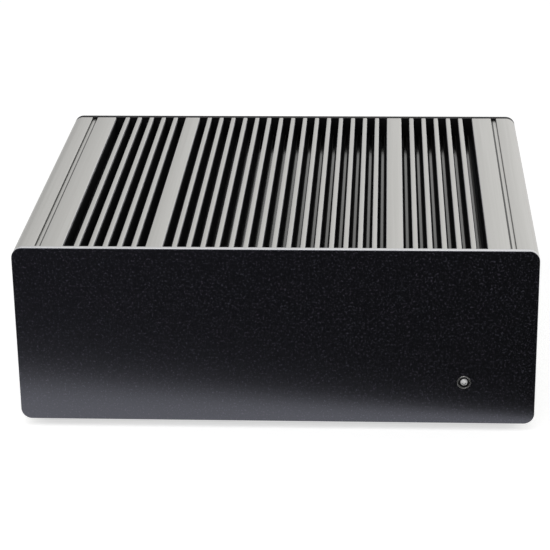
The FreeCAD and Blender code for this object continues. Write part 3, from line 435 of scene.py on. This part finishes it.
# Each kind of groove, below the face: a line of painted shade along each edge, 0.25 mm wide on its outer
# side and 1 mm on its inner.
outer_shade_w, inner_shade_w = 0.25, 1.0
clear_w, clear_shift = groove_w - outer_shade_w - inner_shade_w, (inner_shade_w - outer_shade_w) / 2
mid_z = (z_top + z_base) / 2
out_z = add(tree, "Math", {0: at.outputs["Z"], 1: mid_z * mm}, operation="SUBTRACT")
out_z = add(tree, "Math", {0: out_z}, operation="ABSOLUTE")
painted_groove_shade = None
for along, edge, across, face in ((out_x, half_w, out_z, z_top - mid_z),
                                  (out_z, z_top - mid_z, out_x, half_w)):
    off = add(tree, "Math", {0: along, 1: (edge - groove_inset + clear_shift) * mm}, operation="SUBTRACT")
    off = add(tree, "Math", {0: off}, operation="ABSOLUTE")
    near = add(tree, "MapRange", {"Value": off, "From Min": (clear_w / 2 - 0.1) * mm,
                                  "From Max": (clear_w / 2 + 0.15) * mm})
    low = add(tree, "MapRange", {"Value": across, "From Min": (face - 0.15) * mm,
                                 "From Max": (face - 0.35) * mm})
    both = add(tree, "Math", {0: near, 1: low}, operation="MULTIPLY")
    inside = add(tree, "Math", {0: off, 1: (groove_w / 2 + clear_shift + 0.1) * mm},
                 operation="LESS_THAN")
    both = add(tree, "Math", {0: both, 1: inside}, operation="MULTIPLY")
    painted_groove_shade = both if painted_groove_shade is None else add(tree, "Math", {0: painted_groove_shade, 1: both},
                                                         operation="MAXIMUM")
# Painted shade lines in the corners of the grooves.
tone = add(tree, "Mix", {0: painted_groove_shade, 6: tone.outputs[2], 7: linear("#4c4c4a")}, data_type="RGBA")

rough = add(tree, "MapRange", {"Value": blast.outputs["Fac"], "To Min": 0.36, "To Max": 0.48})
root = add(tree, "MapRange", {"Value": at.outputs["Z"], "From Min": (z_gap + gloss_at[1]) * mm,
                              "From Max": (z_gap + gloss_at[0]) * mm})
root = add(tree, "Math", {0: root, 1: painted_gap_mask}, operation="MULTIPLY")
rough = add(tree, "Mix", {0: root, 2: rough, 3: 0.16})
rough = add(tree, "Mix", {0: painted_wall_shade, 2: rough, 3: 0.75})
bump = add(tree, "Bump", {"Height": blast.outputs["Fac"], "Distance": 0.006 * mm, "Strength": 0.5})
shader = add(tree, "BsdfPrincipled", {"Base Color": tone.outputs[2], "Metallic": 1.0, "Roughness": rough,
                                      "Normal": bump})
add(tree, "OutputMaterial", {"Surface": shader})
outline = cover_outline()
cover = skin("finned_cover", [drawn((outline, case_low[1]), (outline, case_high[1]))], clear_anodised,
             caps=True)
stand_for(cover, "silver_anodised", "heatsink_cover")

# -------------------- front plate and fascia
# A 2.4 mm plate of clear anodised aluminium, screwed to the cover's channels, with a thin black printed
# film glued over its whole front, which hides the screws.


def rounded_rectangle(low, high, r, inset=0.0, corner_steps=10, side_steps=24):
    """Ring of x and z round a rectangle: a quarter turn at each corner, and even steps along each
    side."""
    (x0, z0), (x1, z1) = np.array(low) + inset, np.array(high) - inset
    r = r - inset
    middles = [(x1 - r, z1 - r), (x0 + r, z1 - r), (x0 + r, z0 + r), (x1 - r, z0 + r)]
    arcs = [quarter(r, 90 * k, 90 * k + 90, corner_steps) + middle for k, middle in enumerate(middles)]
    sides = [np.linspace(a[-1], b[0], side_steps + 2)[1:-1] for a, b in zip(arcs, arcs[1:] + arcs[:1])]
    return np.concatenate([part for pair in zip(arcs, sides) for part in pair])


def circle_in_line(ring, centre, r):
    """Circle whose points lie on the lines from its centre to the ring's points."""
    spoke = ring - centre
    return centre + r * spoke / np.linalg.norm(spoke, axis=1, keepdims=True)


def plate(outline, hole, y0, y1, edge):
    """Plate with broken edges and a hole: its section runs hole, front face, edge, back face and round
    again. outline gives the outer ring for an inset."""
    return drawn((hole, y0), (outline(edge), y0), (outline(0), y0 + edge), (outline(0), y1 - edge),
                 (outline(edge), y1), (hole, y1))


face_low, face_high = span("front_plate")
film_low, film_high = span("front_fascia")
shank_r = 2.55
ring_low, ring_high = span("led_bezel")
lamp_at = ((ring_low + ring_high) / 2)[[0, 2]]


def face_outline(inset):
    """Outline of the front plate and its film, drawn in by an inset."""
    return rounded_rectangle(face_low[[0, 2]], face_high[[0, 2]], corner_r, inset)


# Clear anodised sheet: brushed before the bath, so a little brighter than the blasted extrusion.
brushed_anodised, tree, place = start("brushed_anodised_sheet")
surface(tree, place, "#cdcdcf", "#dadadb", 1.0 * mm, (0.3, 0.42), stretch=(25, 1, 1), Metallic=1.0)
hole = circle_in_line(face_outline(0), lamp_at, shank_r)
front = skin("front_plate_panel", [plate(face_outline, hole, face_low[1], face_high[1], edge=0.15)],
             brushed_anodised, along=True)
stand_for(front, "silver_anodised", "front_plate")

# Black polycarbonate film, hard coated with a fine texture: nearly black, with grey specks where the
# texture catches light, and a soft blurred gloss. The texture's grain is 0.2 mm and is drawn at 0.9 mm so
# that it shows.
textured_film, tree, place = start("textured_black_film")
grain = add(tree, "TexNoise", {"Vector": place, "Scale": 1 / (0.9 * mm), "Detail": 2.0, "Roughness": 0.7})
cloud = add(tree, "TexNoise", {"Vector": place, "Scale": 1 / (9 * mm), "Detail": 2.0})
speck = add(tree, "MapRange", {"Value": grain.outputs["Fac"], "From Min": 0.56, "From Max": 0.7})
light_tone = add(tree, "Mix", {0: cloud.outputs["Fac"], 6: linear("#4f4152"), 7: linear("#40474f")},
                 data_type="RGBA")
tone = add(tree, "Mix", {0: speck, 6: linear("#020203"), 7: light_tone.outputs[2]}, data_type="RGBA")
rough = add(tree, "MapRange", {"Value": grain.outputs["Fac"], "To Min": 0.26, "To Max": 0.42})
bump = add(tree, "Bump", {"Height": grain.outputs["Fac"], "Distance": 0.05 * mm, "Strength": 0.7})
shader = add(tree, "BsdfPrincipled", {"Base Color": tone.outputs[2], "Roughness": rough, "IOR": 1.58,
                                      "Specular IOR Level": 1.0, "Coat Weight": 0.7,
                                      "Specular Tint": linear("#dde0f6"), "Coat Roughness": 0.35,
                                      "Normal": bump})
add(tree, "OutputMaterial", {"Surface": shader})
film = skin("front_film", [plate(face_outline, hole, film_low[1], film_high[1], edge=0.12)],
            textured_film, along=True)
stand_for(film, "black_fascia", "front_fascia")

# -------------------- status lamp
# A clear lamp in a turned, nickel plated ring, pushed through the front and held by a nut behind it. A
# black plastic collar fills the ring's cup round the lens.
flange_t, ring_r, cup_r, cup_depth, lens_r = 1.0, 3.2, 2.6, 0.7, 1.75
lamp_low, lamp_high = span("status_led")
y_film = film_low[1]
x, z = lamp_at
into_cup = flange_t - cup_depth
rim_r, inner_r, fit, back = 0.3, 0.22, 0.05, y_film - ring_high[1]
rim = quarter(rim_r, 0, 90, 5) + (ring_r - rim_r, flange_t - rim_r)
inner = quarter(inner_r, 90, 180, 4) + (cup_r + inner_r, flange_t - inner_r)
profile = [(shank_r - fit, 0), (ring_r, 0), *rim, *inner, (cup_r, into_cup), (lens_r + fit, into_cup),
           (lens_r + fit, back), (shank_r - fit, back)]

# Nickel plate on a turned ring: mirror grey, darker than zinc, with turning marks that blur it round the
# rim.
nickel_plate, tree, place = start("nickel_plate")
surface(tree, place, "#8f8e8d", "#a5a4a2", 1.5 * mm, (0.2, 0.32), Metallic=1.0)
ring = skin("lamp_ring", [turned(profile, (x, y_film, z), (0, -1, 0), 64)], nickel_plate, along=True)
stand_for(ring, "nickel_ring", "led_bezel")
dress(nickel_plate, "led_nut")

# The collar is the same black nylon as the sockets, with a cone that slopes in towards the lens.
bore_r, low_edge = lens_r + 0.02, into_cup + 0.15
profile = [(bore_r, into_cup), (cup_r, into_cup), (cup_r, flange_t - 0.25), (lens_r + 0.15, low_edge),
           (bore_r, low_edge)]
collar = skin("lamp_collar", [turned(profile, (x, y_film, z), (0, -1, 0), 48)], black_nylon, along=True)

# Clear epoxy lamp: water-white and glossy, lit milky by the reflector in it, whose post and cup show
# through as a darker crescent under the middle.
clear_epoxy, tree, place = start("clear_epoxy")
spot = add(tree, "Mapping", {"Vector": place, "Location": (-x * mm, 0, -(z + 0.25) * mm)})
flat = add(tree, "VectorMath", {0: spot, 1: (1, 0, 1)}, operation="MULTIPLY")
away = add(tree, "VectorMath", {0: flat}, operation="LENGTH")
crescent = add(tree, "MapRange", {"Value": away.outputs["Value"], "From Min": 0.62 * mm,
                                  "From Max": 0.8 * mm})
beyond = add(tree, "MapRange", {"Value": away.outputs["Value"], "From Min": 1.25 * mm,
                                "From Max": 1.0 * mm})
up_down = add(tree, "SeparateXYZ", {"Vector": spot})
below = add(tree, "MapRange", {"Value": up_down.outputs["Z"], "From Min": -0.1 * mm,
                               "From Max": -0.45 * mm})
shade = add(tree, "Math", {0: crescent, 1: beyond}, operation="MULTIPLY")
shade = add(tree, "Math", {0: shade, 1: below}, operation="MULTIPLY")
tone = add(tree, "Mix", {0: shade, 6: linear("#fafafa"), 7: linear("#1c1e20")}, data_type="RGBA")
shader = add(tree, "BsdfPrincipled", {"Base Color": tone.outputs[2], "Roughness": 0.06, "IOR": 1.52,
                                      "Transmission Weight": 0.12})
add(tree, "OutputMaterial", {"Surface": shader})
nose = y_film - lamp_low[1]
dome = quarter(lens_r, 0, 90, 10) + (0, nose - lens_r)
foot_r, foot_t, leads = lens_r + 0.55, 1, 5
y_back = y_film - lamp_high[1] + leads
profile = [(0, y_back), (foot_r, y_back), (foot_r, y_back + foot_t), (lens_r, y_back + foot_t), *dome]
lens = skin("lamp_lens", [turned(profile, (x, y_film, z), (0, -1, 0), 48)], clear_epoxy)
stand_for(lens, "lamp_resin", "status_led")

# -------------------- rear plate
# A 3 mm black anodised plate with one window for the connectors, held by four domed screws with hexagon
# sockets.
rear_low, rear_high = span("rear_plate")
window_low, window_high = span("io_shield")
rim_w, window_r = 1.4, 0.5


def rear_outline(inset):
    """Outline of the rear plate, drawn in by an inset."""
    return rounded_rectangle(rear_low[[0, 2]], rear_high[[0, 2]], corner_r, inset)


window = rounded_rectangle(window_low[[0, 2]] + rim_w, window_high[[0, 2]] - rim_w, window_r)
rear = skin("rear_panel", [plate(rear_outline, window, rear_high[1], rear_low[1], edge=0.15)],
            black_anodised, along=True)
stand_for(rear, "black_anodised", "rear_plate")


def hexagon_socket(angle):
    """Hexagon as a share of its corner's distance: cosine of 30 degrees over the cosine of the angle
    from the middle of a side."""
    half_side = math.pi / 6
    return math.cos(half_side) / np.cos(np.mod(angle, 2 * half_side) - half_side)


low, high = span("rear_plate_screws")
m4_r, head_r, head_h, socket_r, socket_depth = 2.0, 3.8, 2.4, 1.45, 1.3
seat = high[1] - head_h
head = domed(m4_r, head_r, 1.5, 2.0, 85, 8)
grids = [screw((x, seat, z), (0, -1, 0), head, m4_r, seat - low[1], socket_r, socket_depth,
               hexagon_socket)
         for x, z in corners(low[[0, 2]], high[[0, 2]], head_r)]
rear_screws = skin("rear_screw_set", grids, black_oxide, crease=28)
stand_for(rear_screws, "black_oxide_screw", "rear_plate_screws")

# -------------------- network and USB ports
# Two stamped tin plated housings, each with a network jack over two USB ports: black nylon inside, gold
# contacts.


def softened(points, r, steps=3):
    """Polygon with its corners rounded: each becomes a curve of second degree, B(t) = (1-t)^2 a +
    2t(1-t) b + t^2 c, between the points r before and r after the corner b."""
    points, t = np.array(points, float), np.linspace(0, 1, steps + 1)[None, :, None]
    towards = [np.roll(points, shift, 0) - points for shift in (1, -1)]
    a, c = [(points + r * d / np.linalg.norm(d, axis=1, keepdims=True))[:, None] for d in towards]
    return (a * (1 - t) ** 2 + 2 * points[:, None] * t * (1 - t) + c * t ** 2).reshape(-1, 2)


def box_outline(x0, x1, z0, z1, r=0.3):
    """Rectangle with softened corners."""
    return softened([(x0, z0), (x1, z0), (x1, z1), (x0, z1)], r)


def cup(outer, inner, y_back, y_floor, y_face, lip=0.2):
    """Shell open to the rear: up the outside, over a lip broken on both its edges, and down to the
    floor. The two outlines have points in pairs."""
    share = min(0.3, lip / np.abs(outer - inner).max())
    return drawn((outer, y_back), (outer, y_face - lip), (outer + share * (inner - outer), y_face),
                 (inner + share * (outer - inner), y_face), (inner, y_face - lip), (inner, y_floor))


def about(middle, width):
    """Range of a width about its middle."""
    return middle - width / 2, middle + width / 2


def bar(x, y, z, edge=0.1):
    """Block with every edge broken, from its ranges of x, y and z."""
    whole, less = [box_outline(x[0] + e, x[1] - e, z[0] + e, z[1] - e, edge) for e in (0, edge)]
    return drawn((less, y[0]), (whole, y[0] + edge), (whole, y[1] - edge), (less, y[1]))


usb_w, usb_h, usb_depth, usb_z = 12.5, 5.0, 11.0, (4.5, 12.3)
usb_back_w, usb_back_h, usb_back_t = 12, 4.6, 2
tongue_w, tongue_z, tongue_long, tongue_short_by = 11, (0.3, 2.1), 10, 1.5
usb_contact_w, usb_contact_x = 1.0, (-3.5, -1, 1, 3.5)
jack_w, jack_h, jack_depth, jack_z, latch_w, latch_h = 11.8, 7.2, 14.0, 18.6, 6.2, 1.6
jack_lining_depth, jack_contact_w, jack_contact_pitch = 12, 0.4, 1.02
cell_tops, pair_x = (8.4, 16.4), (5, 2, -2, -5)
link_w, link_x, link_z = 2.6, (-6.1, 6.1), (1.0, 2.6)
shells, liners, contacts, windows = [], [], [], []
for node in ("lan_usb_port_1", "lan_usb_port_2"):
    low, high = span(node)
    x, y_back, y_face, z, top = (low[0] + high[0]) / 2, low[1], high[1], low[2], high[2]
    levels = (z, z + cell_tops[0], z + cell_tops[1])
    y_usb = y_face - usb_depth + usb_back_t
    for middle, z0, z1 in zip(usb_z, levels, levels[1:]):
        middle += z
        inner = box_outline(*about(x, usb_w), *about(middle, usb_h))
        shells.append(cup(box_outline(low[0], high[0], z0, z1), inner, y_back, y_face - usb_depth,
                          y_face))
        liners.append(bar(about(x, usb_back_w), (y_face - usb_depth - 0.2, y_usb),
                          about(middle, usb_back_h)))
        liners.append(bar(about(x, tongue_w), (y_face - tongue_long, y_face - tongue_short_by),
                          (middle + tongue_z[0], middle + tongue_z[1]), 0.2))
        contacts += [bar(about(x + k, usb_contact_w), (y_usb, y_face - 2.2), (middle + 0.1, middle + 0.4),
                         0.05)
                     for k in usb_contact_x]
    half, latch, z0 = jack_w / 2, latch_w / 2, z + jack_z
    z1, z2, wide = z0 + jack_h, z0 + jack_h + latch_h, (high[0] - low[0]) / 2
    jack = [(-half, z0), (half, z0), (half, z1), (latch, z1), (latch, z2), (-latch, z2), (-latch, z1),
            (-half, z1)]
    # The housing's outline has points along its top that pair with the jack's latch.
    around = [(-wide, levels[2]), (wide, levels[2]), (wide, top), *[(k, top) for k in pair_x],
              (-wide, top)]
    around, jack = softened(around, 0.3) + (x, 0), softened(jack, 0.3) + (x, 0)
    shells.append(cup(around, jack, y_back, y_face - jack_depth, y_face))
    centre = (x, (z0 + z1) / 2)
    lining = [centre + (jack - centre) * k for k in (0.99, 0.9)]
    y_lining = y_face - jack_lining_depth
    liners.append(cup(*lining, y_face - jack_depth - 0.1, y_lining, y_face - 0.8))
    contacts += [bar(about(x + k, jack_contact_w), (y_lining - 0.1, y_face - 3), (z0 + 1.0, z0 + 1.3),
                     0.05)
                 for k in jack_contact_pitch * (np.arange(8) - 3.5)]
    windows += [bar(about(x + k, link_w), (y_face - 0.5, y_face + 0.1), (z1 + link_z[0], z1 + link_z[1]))
                for k in link_x]
housings = skin("port_housings", shells, tin_plate, caps=True)
stand_for(housings, "tinned_steel", "lan_usb_port_1", "lan_usb_port_2")
skin("port_liners", liners, black_nylon, caps=True)
# Gold flash over copper alloy on the contacts: a warm glint in the dark of each port.
gold_flash, tree, place = start("gold_flash_contacts")
surface(tree, place, "#c79a3e", "#dcb55c", 2 * mm, (0.22, 0.32), Metallic=1.0)
skin("port_contacts", contacts, gold_flash, caps=True)
# Unlit link lamps: milky light pipes of clear resin, slightly yellow.
light_pipe, tree, place = start("milky_light_pipe")
surface(tree, place, "#c6c8a4", "#d6d7b9", 1 * mm, (0.2, 0.3), Coat_Weight=0.5)
skin("link_windows", windows, light_pipe, caps=True)

# -------------------- video ports
# Two flat sockets of tin plated steel with cut corners, each round a black tongue that carries gold
# contacts.
wall, depth_share, tongue_in, tongue_t = 0.6, 0.7, 2.5, 1.1
contact_w, contact_t, contact_pitch = 0.5, 1.24, 1.0
shells, tongues, contacts = [], [], []
for node, cut_left, cut_right in (("hdmi_port", 1.6, 1.6), ("display_port", 2.0, 0.3)):
    (x0, y_back, z0), (x1, y_face, z1) = span(node)
    middle = np.array([(x0 + x1) / 2, (z0 + z1) / 2])
    outer = softened([(x0 + cut_left, z0), (x1 - cut_right, z0), (x1, z0 + cut_right), (x1, z1), (x0, z1),
                      (x0, z0 + cut_left)], 0.14)
    inner = middle + (outer - middle) * (1 - 2 * wall / np.array([x1 - x0, z1 - z0]))
    y_floor = y_face - depth_share * (y_face - y_back)
    shells.append(cup(outer, inner, y_back, y_floor, y_face, 0.15))
    lining = [middle + (inner - middle) * k for k in (0.995, 0.93)]
    tongues.append(cup(*lining, y_floor - 0.1, y_floor + 0.4, y_face - 1.0))
    tongues.append(bar((x0 + tongue_in, x1 - tongue_in), (y_floor - 0.1, y_face - 1.2),
                       about(middle[1], tongue_t), 0.2))
    contacts += [bar(about(k, contact_w), (y_floor, y_face - 1.6), about(middle[1], contact_t), 0.05)
                 for k in np.arange(x0 + 3.2, x1 - 3.0, contact_pitch)]
video = skin("video_shells", shells, tin_plate, caps=True)
stand_for(video, "tinned_steel", "hdmi_port", "display_port")
skin("video_tongues", tongues, black_nylon, caps=True)
skin("video_contacts", contacts, gold_flash, caps=True)

# -------------------- serial port
# Nine-pin D connector: a block behind the shield, a pressed flange and D shell, domed pins in two rows,
# and two hexagonal posts with threads for the plug's screws.
(x0, y_back, z0), (x1, y_tip, z1) = span("serial_port")
collar_h, flange_t, d_top, d_bottom, d_h, d_r = 1.4, 0.9, 8.45, 7.55, 4.2, 1.6
pin_r, pin_pitch, pin_row, pin_short_by, block_h = 0.5, 2.77, 1.42, 1.2, 11.1
y_flange = span("audio_jacks")[1][1] - collar_h
x, z = (x0 + x1) / 2, (z0 + z1) / 2


def d_outline(inset):
    """D shape, wider at the top and drawn in by an inset: its corners are rounded over d_r."""
    top, bottom, h = d_top - inset, d_bottom - inset, d_h - inset
    return softened([(x - bottom, z - h), (x + bottom, z - h), (x + top, z + h), (x - top, z + h)],
                    d_r - inset, 8)


flange = bar((x0, x1), (y_flange - flange_t, y_flange), (z0, z1), 0.2)
shell = cup(d_outline(0), d_outline(0.5), y_flange - 0.2, y_flange, y_tip, 0.15)
serial = skin("serial_shell", [flange, shell], tin_plate, caps=True)
stand_for(serial, "tinned_steel", "serial_port")
block = bar((x0 + 0.2, x1 - 0.2), (y_back, y_flange - 0.8), (z0, z0 + block_h), 0.3)
insulator = drawn((d_outline(0.55), y_flange - 0.1), (d_outline(0.55), y_flange + 0.9),
                  (d_outline(0.8), y_flange + 1.1))
skin("serial_block", [block, insulator], black_nylon, caps=True)
profile = [(0, 0), (pin_r, 0), *(quarter(pin_r, 0, 90, 4) + (0, y_tip - pin_short_by - y_flange))]
pins = [turned(profile, (x + pin_pitch * (k - (count - 1) / 2), y_flange, z + row), (0, 1, 0), 16)
        for count, row in ((5, pin_row), (4, -pin_row)) for k in range(count)]
skin("serial_pins", pins, gold_flash)

flat_r, round_r, bore_r, thread_r, mouth_r, post_h, post_inset = 2.4, 2.45, 1.5, 1.3, 1.75, 4.6, 2.6
post_low, post_high = span("serial_jackscrews")
around = np.linspace(0, 2 * np.pi, 48, endpoint=False)
spokes = np.stack([np.cos(around), np.sin(around)], -1)
flats = spokes * (flat_r / math.cos(math.pi / 6) * hexagon_socket(around))[:, None]
rounded = np.minimum(1, round_r / np.linalg.norm(flats, axis=1, keepdims=True)) * flats
y0, y1 = post_high[1] - post_h, post_high[1]
posts = []
for at in (post_low[0] + post_inset, post_high[0] - post_inset):
    centre = (at, z)
    flat, end, bore = centre + flats, centre + rounded, centre + bore_r * spokes
    posts.append(drawn((end, y0), (flat, y0 + 0.2), (flat, y1 - 0.3), (end, y1),
                       (centre + mouth_r * spokes, y1), (bore, y1 - 0.25), (bore, y0 + 1.0)))
    posts.append(drawn((centre + thread_r * spokes, post_low[1]), (bore, post_low[1] + 0.2),
                       (bore, y0 + 0.1)))
hex_posts = skin("serial_hex_posts", posts, zinc_plate, caps=True, crease=25)
stand_for(hex_posts, "zinc_screw", "serial_jackscrews")

# -------------------- sound and power sockets
# Black moulded sockets: two round jacks for sound over one another, the barrel socket that takes the lead
# of the supply, and a green two-way terminal for a remote switch.


def round_socket(low, high, centre, collar_r, y_back, y_front, y_collar, hole_r, depth):
    """Moulded block that ends in a round collar with a hole: rectangles turn into circles over the same
    points."""
    edge = 0.2
    whole, less = [rounded_rectangle(low, high, 0.4, inset, 3, 12) for inset in (0, edge)]
    rings = [circle_in_line(whole, centre, r) for r in (collar_r, collar_r - edge, hole_r + edge, hole_r)]
    return drawn((less, y_back), (whole, y_back + edge), (whole, y_front - edge), (less, y_front),
                 (rings[0], y_front), (rings[0], y_collar - edge), (rings[1], y_collar),
                 (rings[2], y_collar), (rings[3], y_collar - edge), (rings[3], y_collar - depth))


(x0, y0, z0), (x1, y1, z1) = span("audio_jacks")
x, split, lower_z, upper_z = (x0 + x1) / 2, z0 + 12.3, z0 + 6.6, z0 + 18.0
collar_r, hole_r, hole_depth = 3.2, 1.8, 9
halves = (z0, split, lower_z), (split, z1, upper_z)
sockets = [round_socket((x0, below), (x1, above), (x, hole_z), collar_r, y0, y1 - collar_h, y1, hole_r,
                        hole_depth)
           for below, above, hole_z in halves]
sound = skin("sound_sockets", sockets, black_nylon, caps=True)
stand_for(sound, "black_moulding", "audio_jacks")

(x0, y0, z0), (x1, y1, z1) = span("dc_jack")
x, hole_z = (x0 + x1) / 2, z0 + 6.4
collar_r, collar_h, hole_r, hole_depth, pin_r, pin_length = 3.6, 0.25, 3.2, 9.5, 1.25, 7.9
barrel = round_socket((x0, z0), (x1, z1), (x, hole_z), collar_r, y0, y1 - collar_h, y1, hole_r,
                      hole_depth)
power = skin("power_socket", [barrel], black_nylon, caps=True)
stand_for(power, "black_moulding", "dc_jack")
profile = [(0, 0), (pin_r, 0), *(quarter(pin_r, 0, 90, 6) * (1, 0.7) + (0, pin_length))]
power_pin = turned(profile, (x, y1 - (hole_depth + 0.1), hole_z), (0, 1, 0), 32)
skin("power_pin", [power_pin], nickel_plate)

# Polyamide of the switch terminal: plain connector green.
terminal_green, tree, place = start("terminal_green")
surface(tree, place, "#1e8a46", "#26994f", 3 * mm, (0.38, 0.5), grit=0.25 * mm, depth=0.01 * mm)
(x0, y0, z0), (x1, y1, z1) = span("switch_terminal")
wall, depth, key_w, blade_w, blade_x = 0.9, 7, 2, 1.0, (-1.9, 1.9)
x, z = (x0 + x1) / 2, (z0 + z1) / 2
tray = cup(box_outline(x0, x1, z0, z1), box_outline(x0 + wall, x1 - wall, z0 + wall, z1 - wall), y0,
           y1 - depth, y1)
key = bar(about(x, key_w), (y1 - 6.9, y1 - 0.3), (z1 - wall - 0.6, z1 - wall + 0.1))
terminal = skin("switch_socket", [tray, key], terminal_green, caps=True)
stand_for(terminal, "green_moulding", "switch_terminal")
blades = [bar(about(x + k, blade_w), (y1 - 7.2, y1 - 1.5), about(z, blade_w), 0.15) for k in blade_x]
skin("switch_pins", blades, tin_plate, caps=True)

# -------------------- floor, lights and camera
# A white table in an even white room that is a little brighter at the right, with one large soft lamp
# above the front. A black cloth lies in front, where only a gloss can show it, so that the black film
# stays black.
white_table, tree, place = start("white_table")
rays = add(tree, "LightPath")
seen = add(tree, "Math", {0: rays.outputs["Is Camera Ray"], 1: rays.outputs["Is Glossy Ray"]},
           operation="MAXIMUM")
seen = add(tree, "Math", {0: seen, 1: rays.outputs["Is Transmission Ray"]}, operation="MAXIMUM")
glow_level = add(tree, "Math", {0: seen, 1: 0.6}, operation="MULTIPLY")
paint = add(tree, "BsdfDiffuse", {"Color": linear("#dcdcdc")})
glow = add(tree, "Emission", {"Color": linear("#ffffff"), "Strength": glow_level})
both = add(tree, "AddShader", {0: paint, 1: glow})
add(tree, "OutputMaterial", {"Surface": both})
table = put("table", [(-4, -4, 0), (4, -4, 0), (4, 6, 0), (-4, 6, 0)], [(0, 1, 2, 3)], white_table)

black_cloth, tree, place = start("black_cloth")
where = add(tree, "SeparateXYZ", {"Vector": place})
faded = add(tree, "MapRange", {"Value": where.outputs["X"], "From Min": -0.25, "From Max": 0.12})
tone = add(tree, "Mix", {0: faded, 6: linear("#35343b"), 7: linear("#060607")}, data_type="RGBA")
shader = add(tree, "BsdfPrincipled", {"Base Color": tone.outputs[2], "Roughness": 0.9})
add(tree, "OutputMaterial", {"Surface": shader})
# The cloth lies 2 mm above the table and starts nearer to the product on the right than on the left. 1.6
# m in front it bends upwards, and it ends 2.2 m above the table.
across = np.array([-2.5, -0.2, 0.13, 2.5])
near_edge = np.array([0.055, 0.055, 0.010, 0.010])
flat_z, flat_to, bend_r = 2 * mm, 1.6, 0.6
sweep = np.concatenate([[(0.0, flat_z), (1.2, flat_z)],
                        quarter(bend_r, -90, 0, 8) + (flat_to, bend_r + flat_z), [(2.2, 2.2)]])
depth = face_low[1] * mm - np.maximum(near_edge[:, None], sweep[:, 0])
sheet = np.stack([np.broadcast_to(across[:, None], depth.shape), depth,
                  np.broadcast_to(sweep[:, 1], depth.shape)], -1)
index = np.arange(depth.size).reshape(depth.shape)
quads = np.stack([index[:-1, :-1], index[:-1, 1:], index[1:, 1:], index[1:, :-1]], -1)
cloth = put("cloth", sheet.reshape(-1, 3).tolist(), quads.reshape(-1, 4).tolist(), black_cloth)
cloth.visible_camera = cloth.visible_diffuse = cloth.visible_shadow = cloth.visible_transmission = False

world = bpy.data.worlds.new("white_room")
bpy.context.scene.world = world
world.use_nodes = True
tree = world.node_tree
tree.nodes.clear()
rays = add(tree, "LightPath")
seen = add(tree, "Math", {0: rays.outputs["Is Glossy Ray"], 1: rays.outputs["Is Transmission Ray"]},
           operation="MAXIMUM")
level = add(tree, "MapRange", {"Value": seen, "To Min": 0.5, "To Max": 1.0})
facing = add(tree, "TexCoord").outputs["Generated"]
towards = add(tree, "SeparateXYZ", {"Vector": facing})
side = add(tree, "MapRange", {"Value": towards.outputs["X"], "From Min": -0.45, "From Max": 0.2,
                              "To Min": 0.6, "To Max": 1.03}, interpolation_type="SMOOTHSTEP")
level = add(tree, "Math", {0: level, 1: side}, operation="MULTIPLY")
level = add(tree, "Math", {0: level, 1: rays.outputs["Is Camera Ray"]}, operation="MAXIMUM")
glow = add(tree, "Background", {"Color": linear("#ffffff"), "Strength": level})
add(tree, "OutputWorld", {"Surface": glow})


def soft_lamp(name, at, towards, size, power):
    """Square area lamp at a point, turned to face another point."""
    lamp = bpy.data.lights.new(name, "AREA")
    lamp.size, lamp.energy = size, power
    held = bpy.data.objects.new(name, lamp)
    held.location = at
    held.rotation_euler = (Vector(towards) - Vector(at)).to_track_quat("-Z", "Y").to_euler()
    bpy.context.scene.collection.objects.link(held)


soft_lamp("overhead_soft_box", at=(-0.3, -0.5, 1.4), towards=(0, 0, 0.05), size=1.4, power=9.0)

camera = bpy.data.cameras.new("camera")
camera.lens, camera.sensor_width = 129.918, 36.0
camera.clip_start, camera.clip_end = 0.01, 50.0
held = bpy.data.objects.new("camera", camera)
heading, tilt, roll = [math.radians(angle) for angle in (3.395, 90 - 22.074, -0.843)]
turn = Matrix.Rotation(heading, 4, "Z") @ Matrix.Rotation(tilt, 4, "X") @ Matrix.Rotation(roll, 4, "Z")
held.matrix_world = Matrix.Translation((0.04996, -0.93397, 0.41653)) @ turn
bpy.context.scene.collection.objects.link(held)
bpy.context.scene.camera = held
bpy.context.scene.view_settings.view_transform = "Standard"
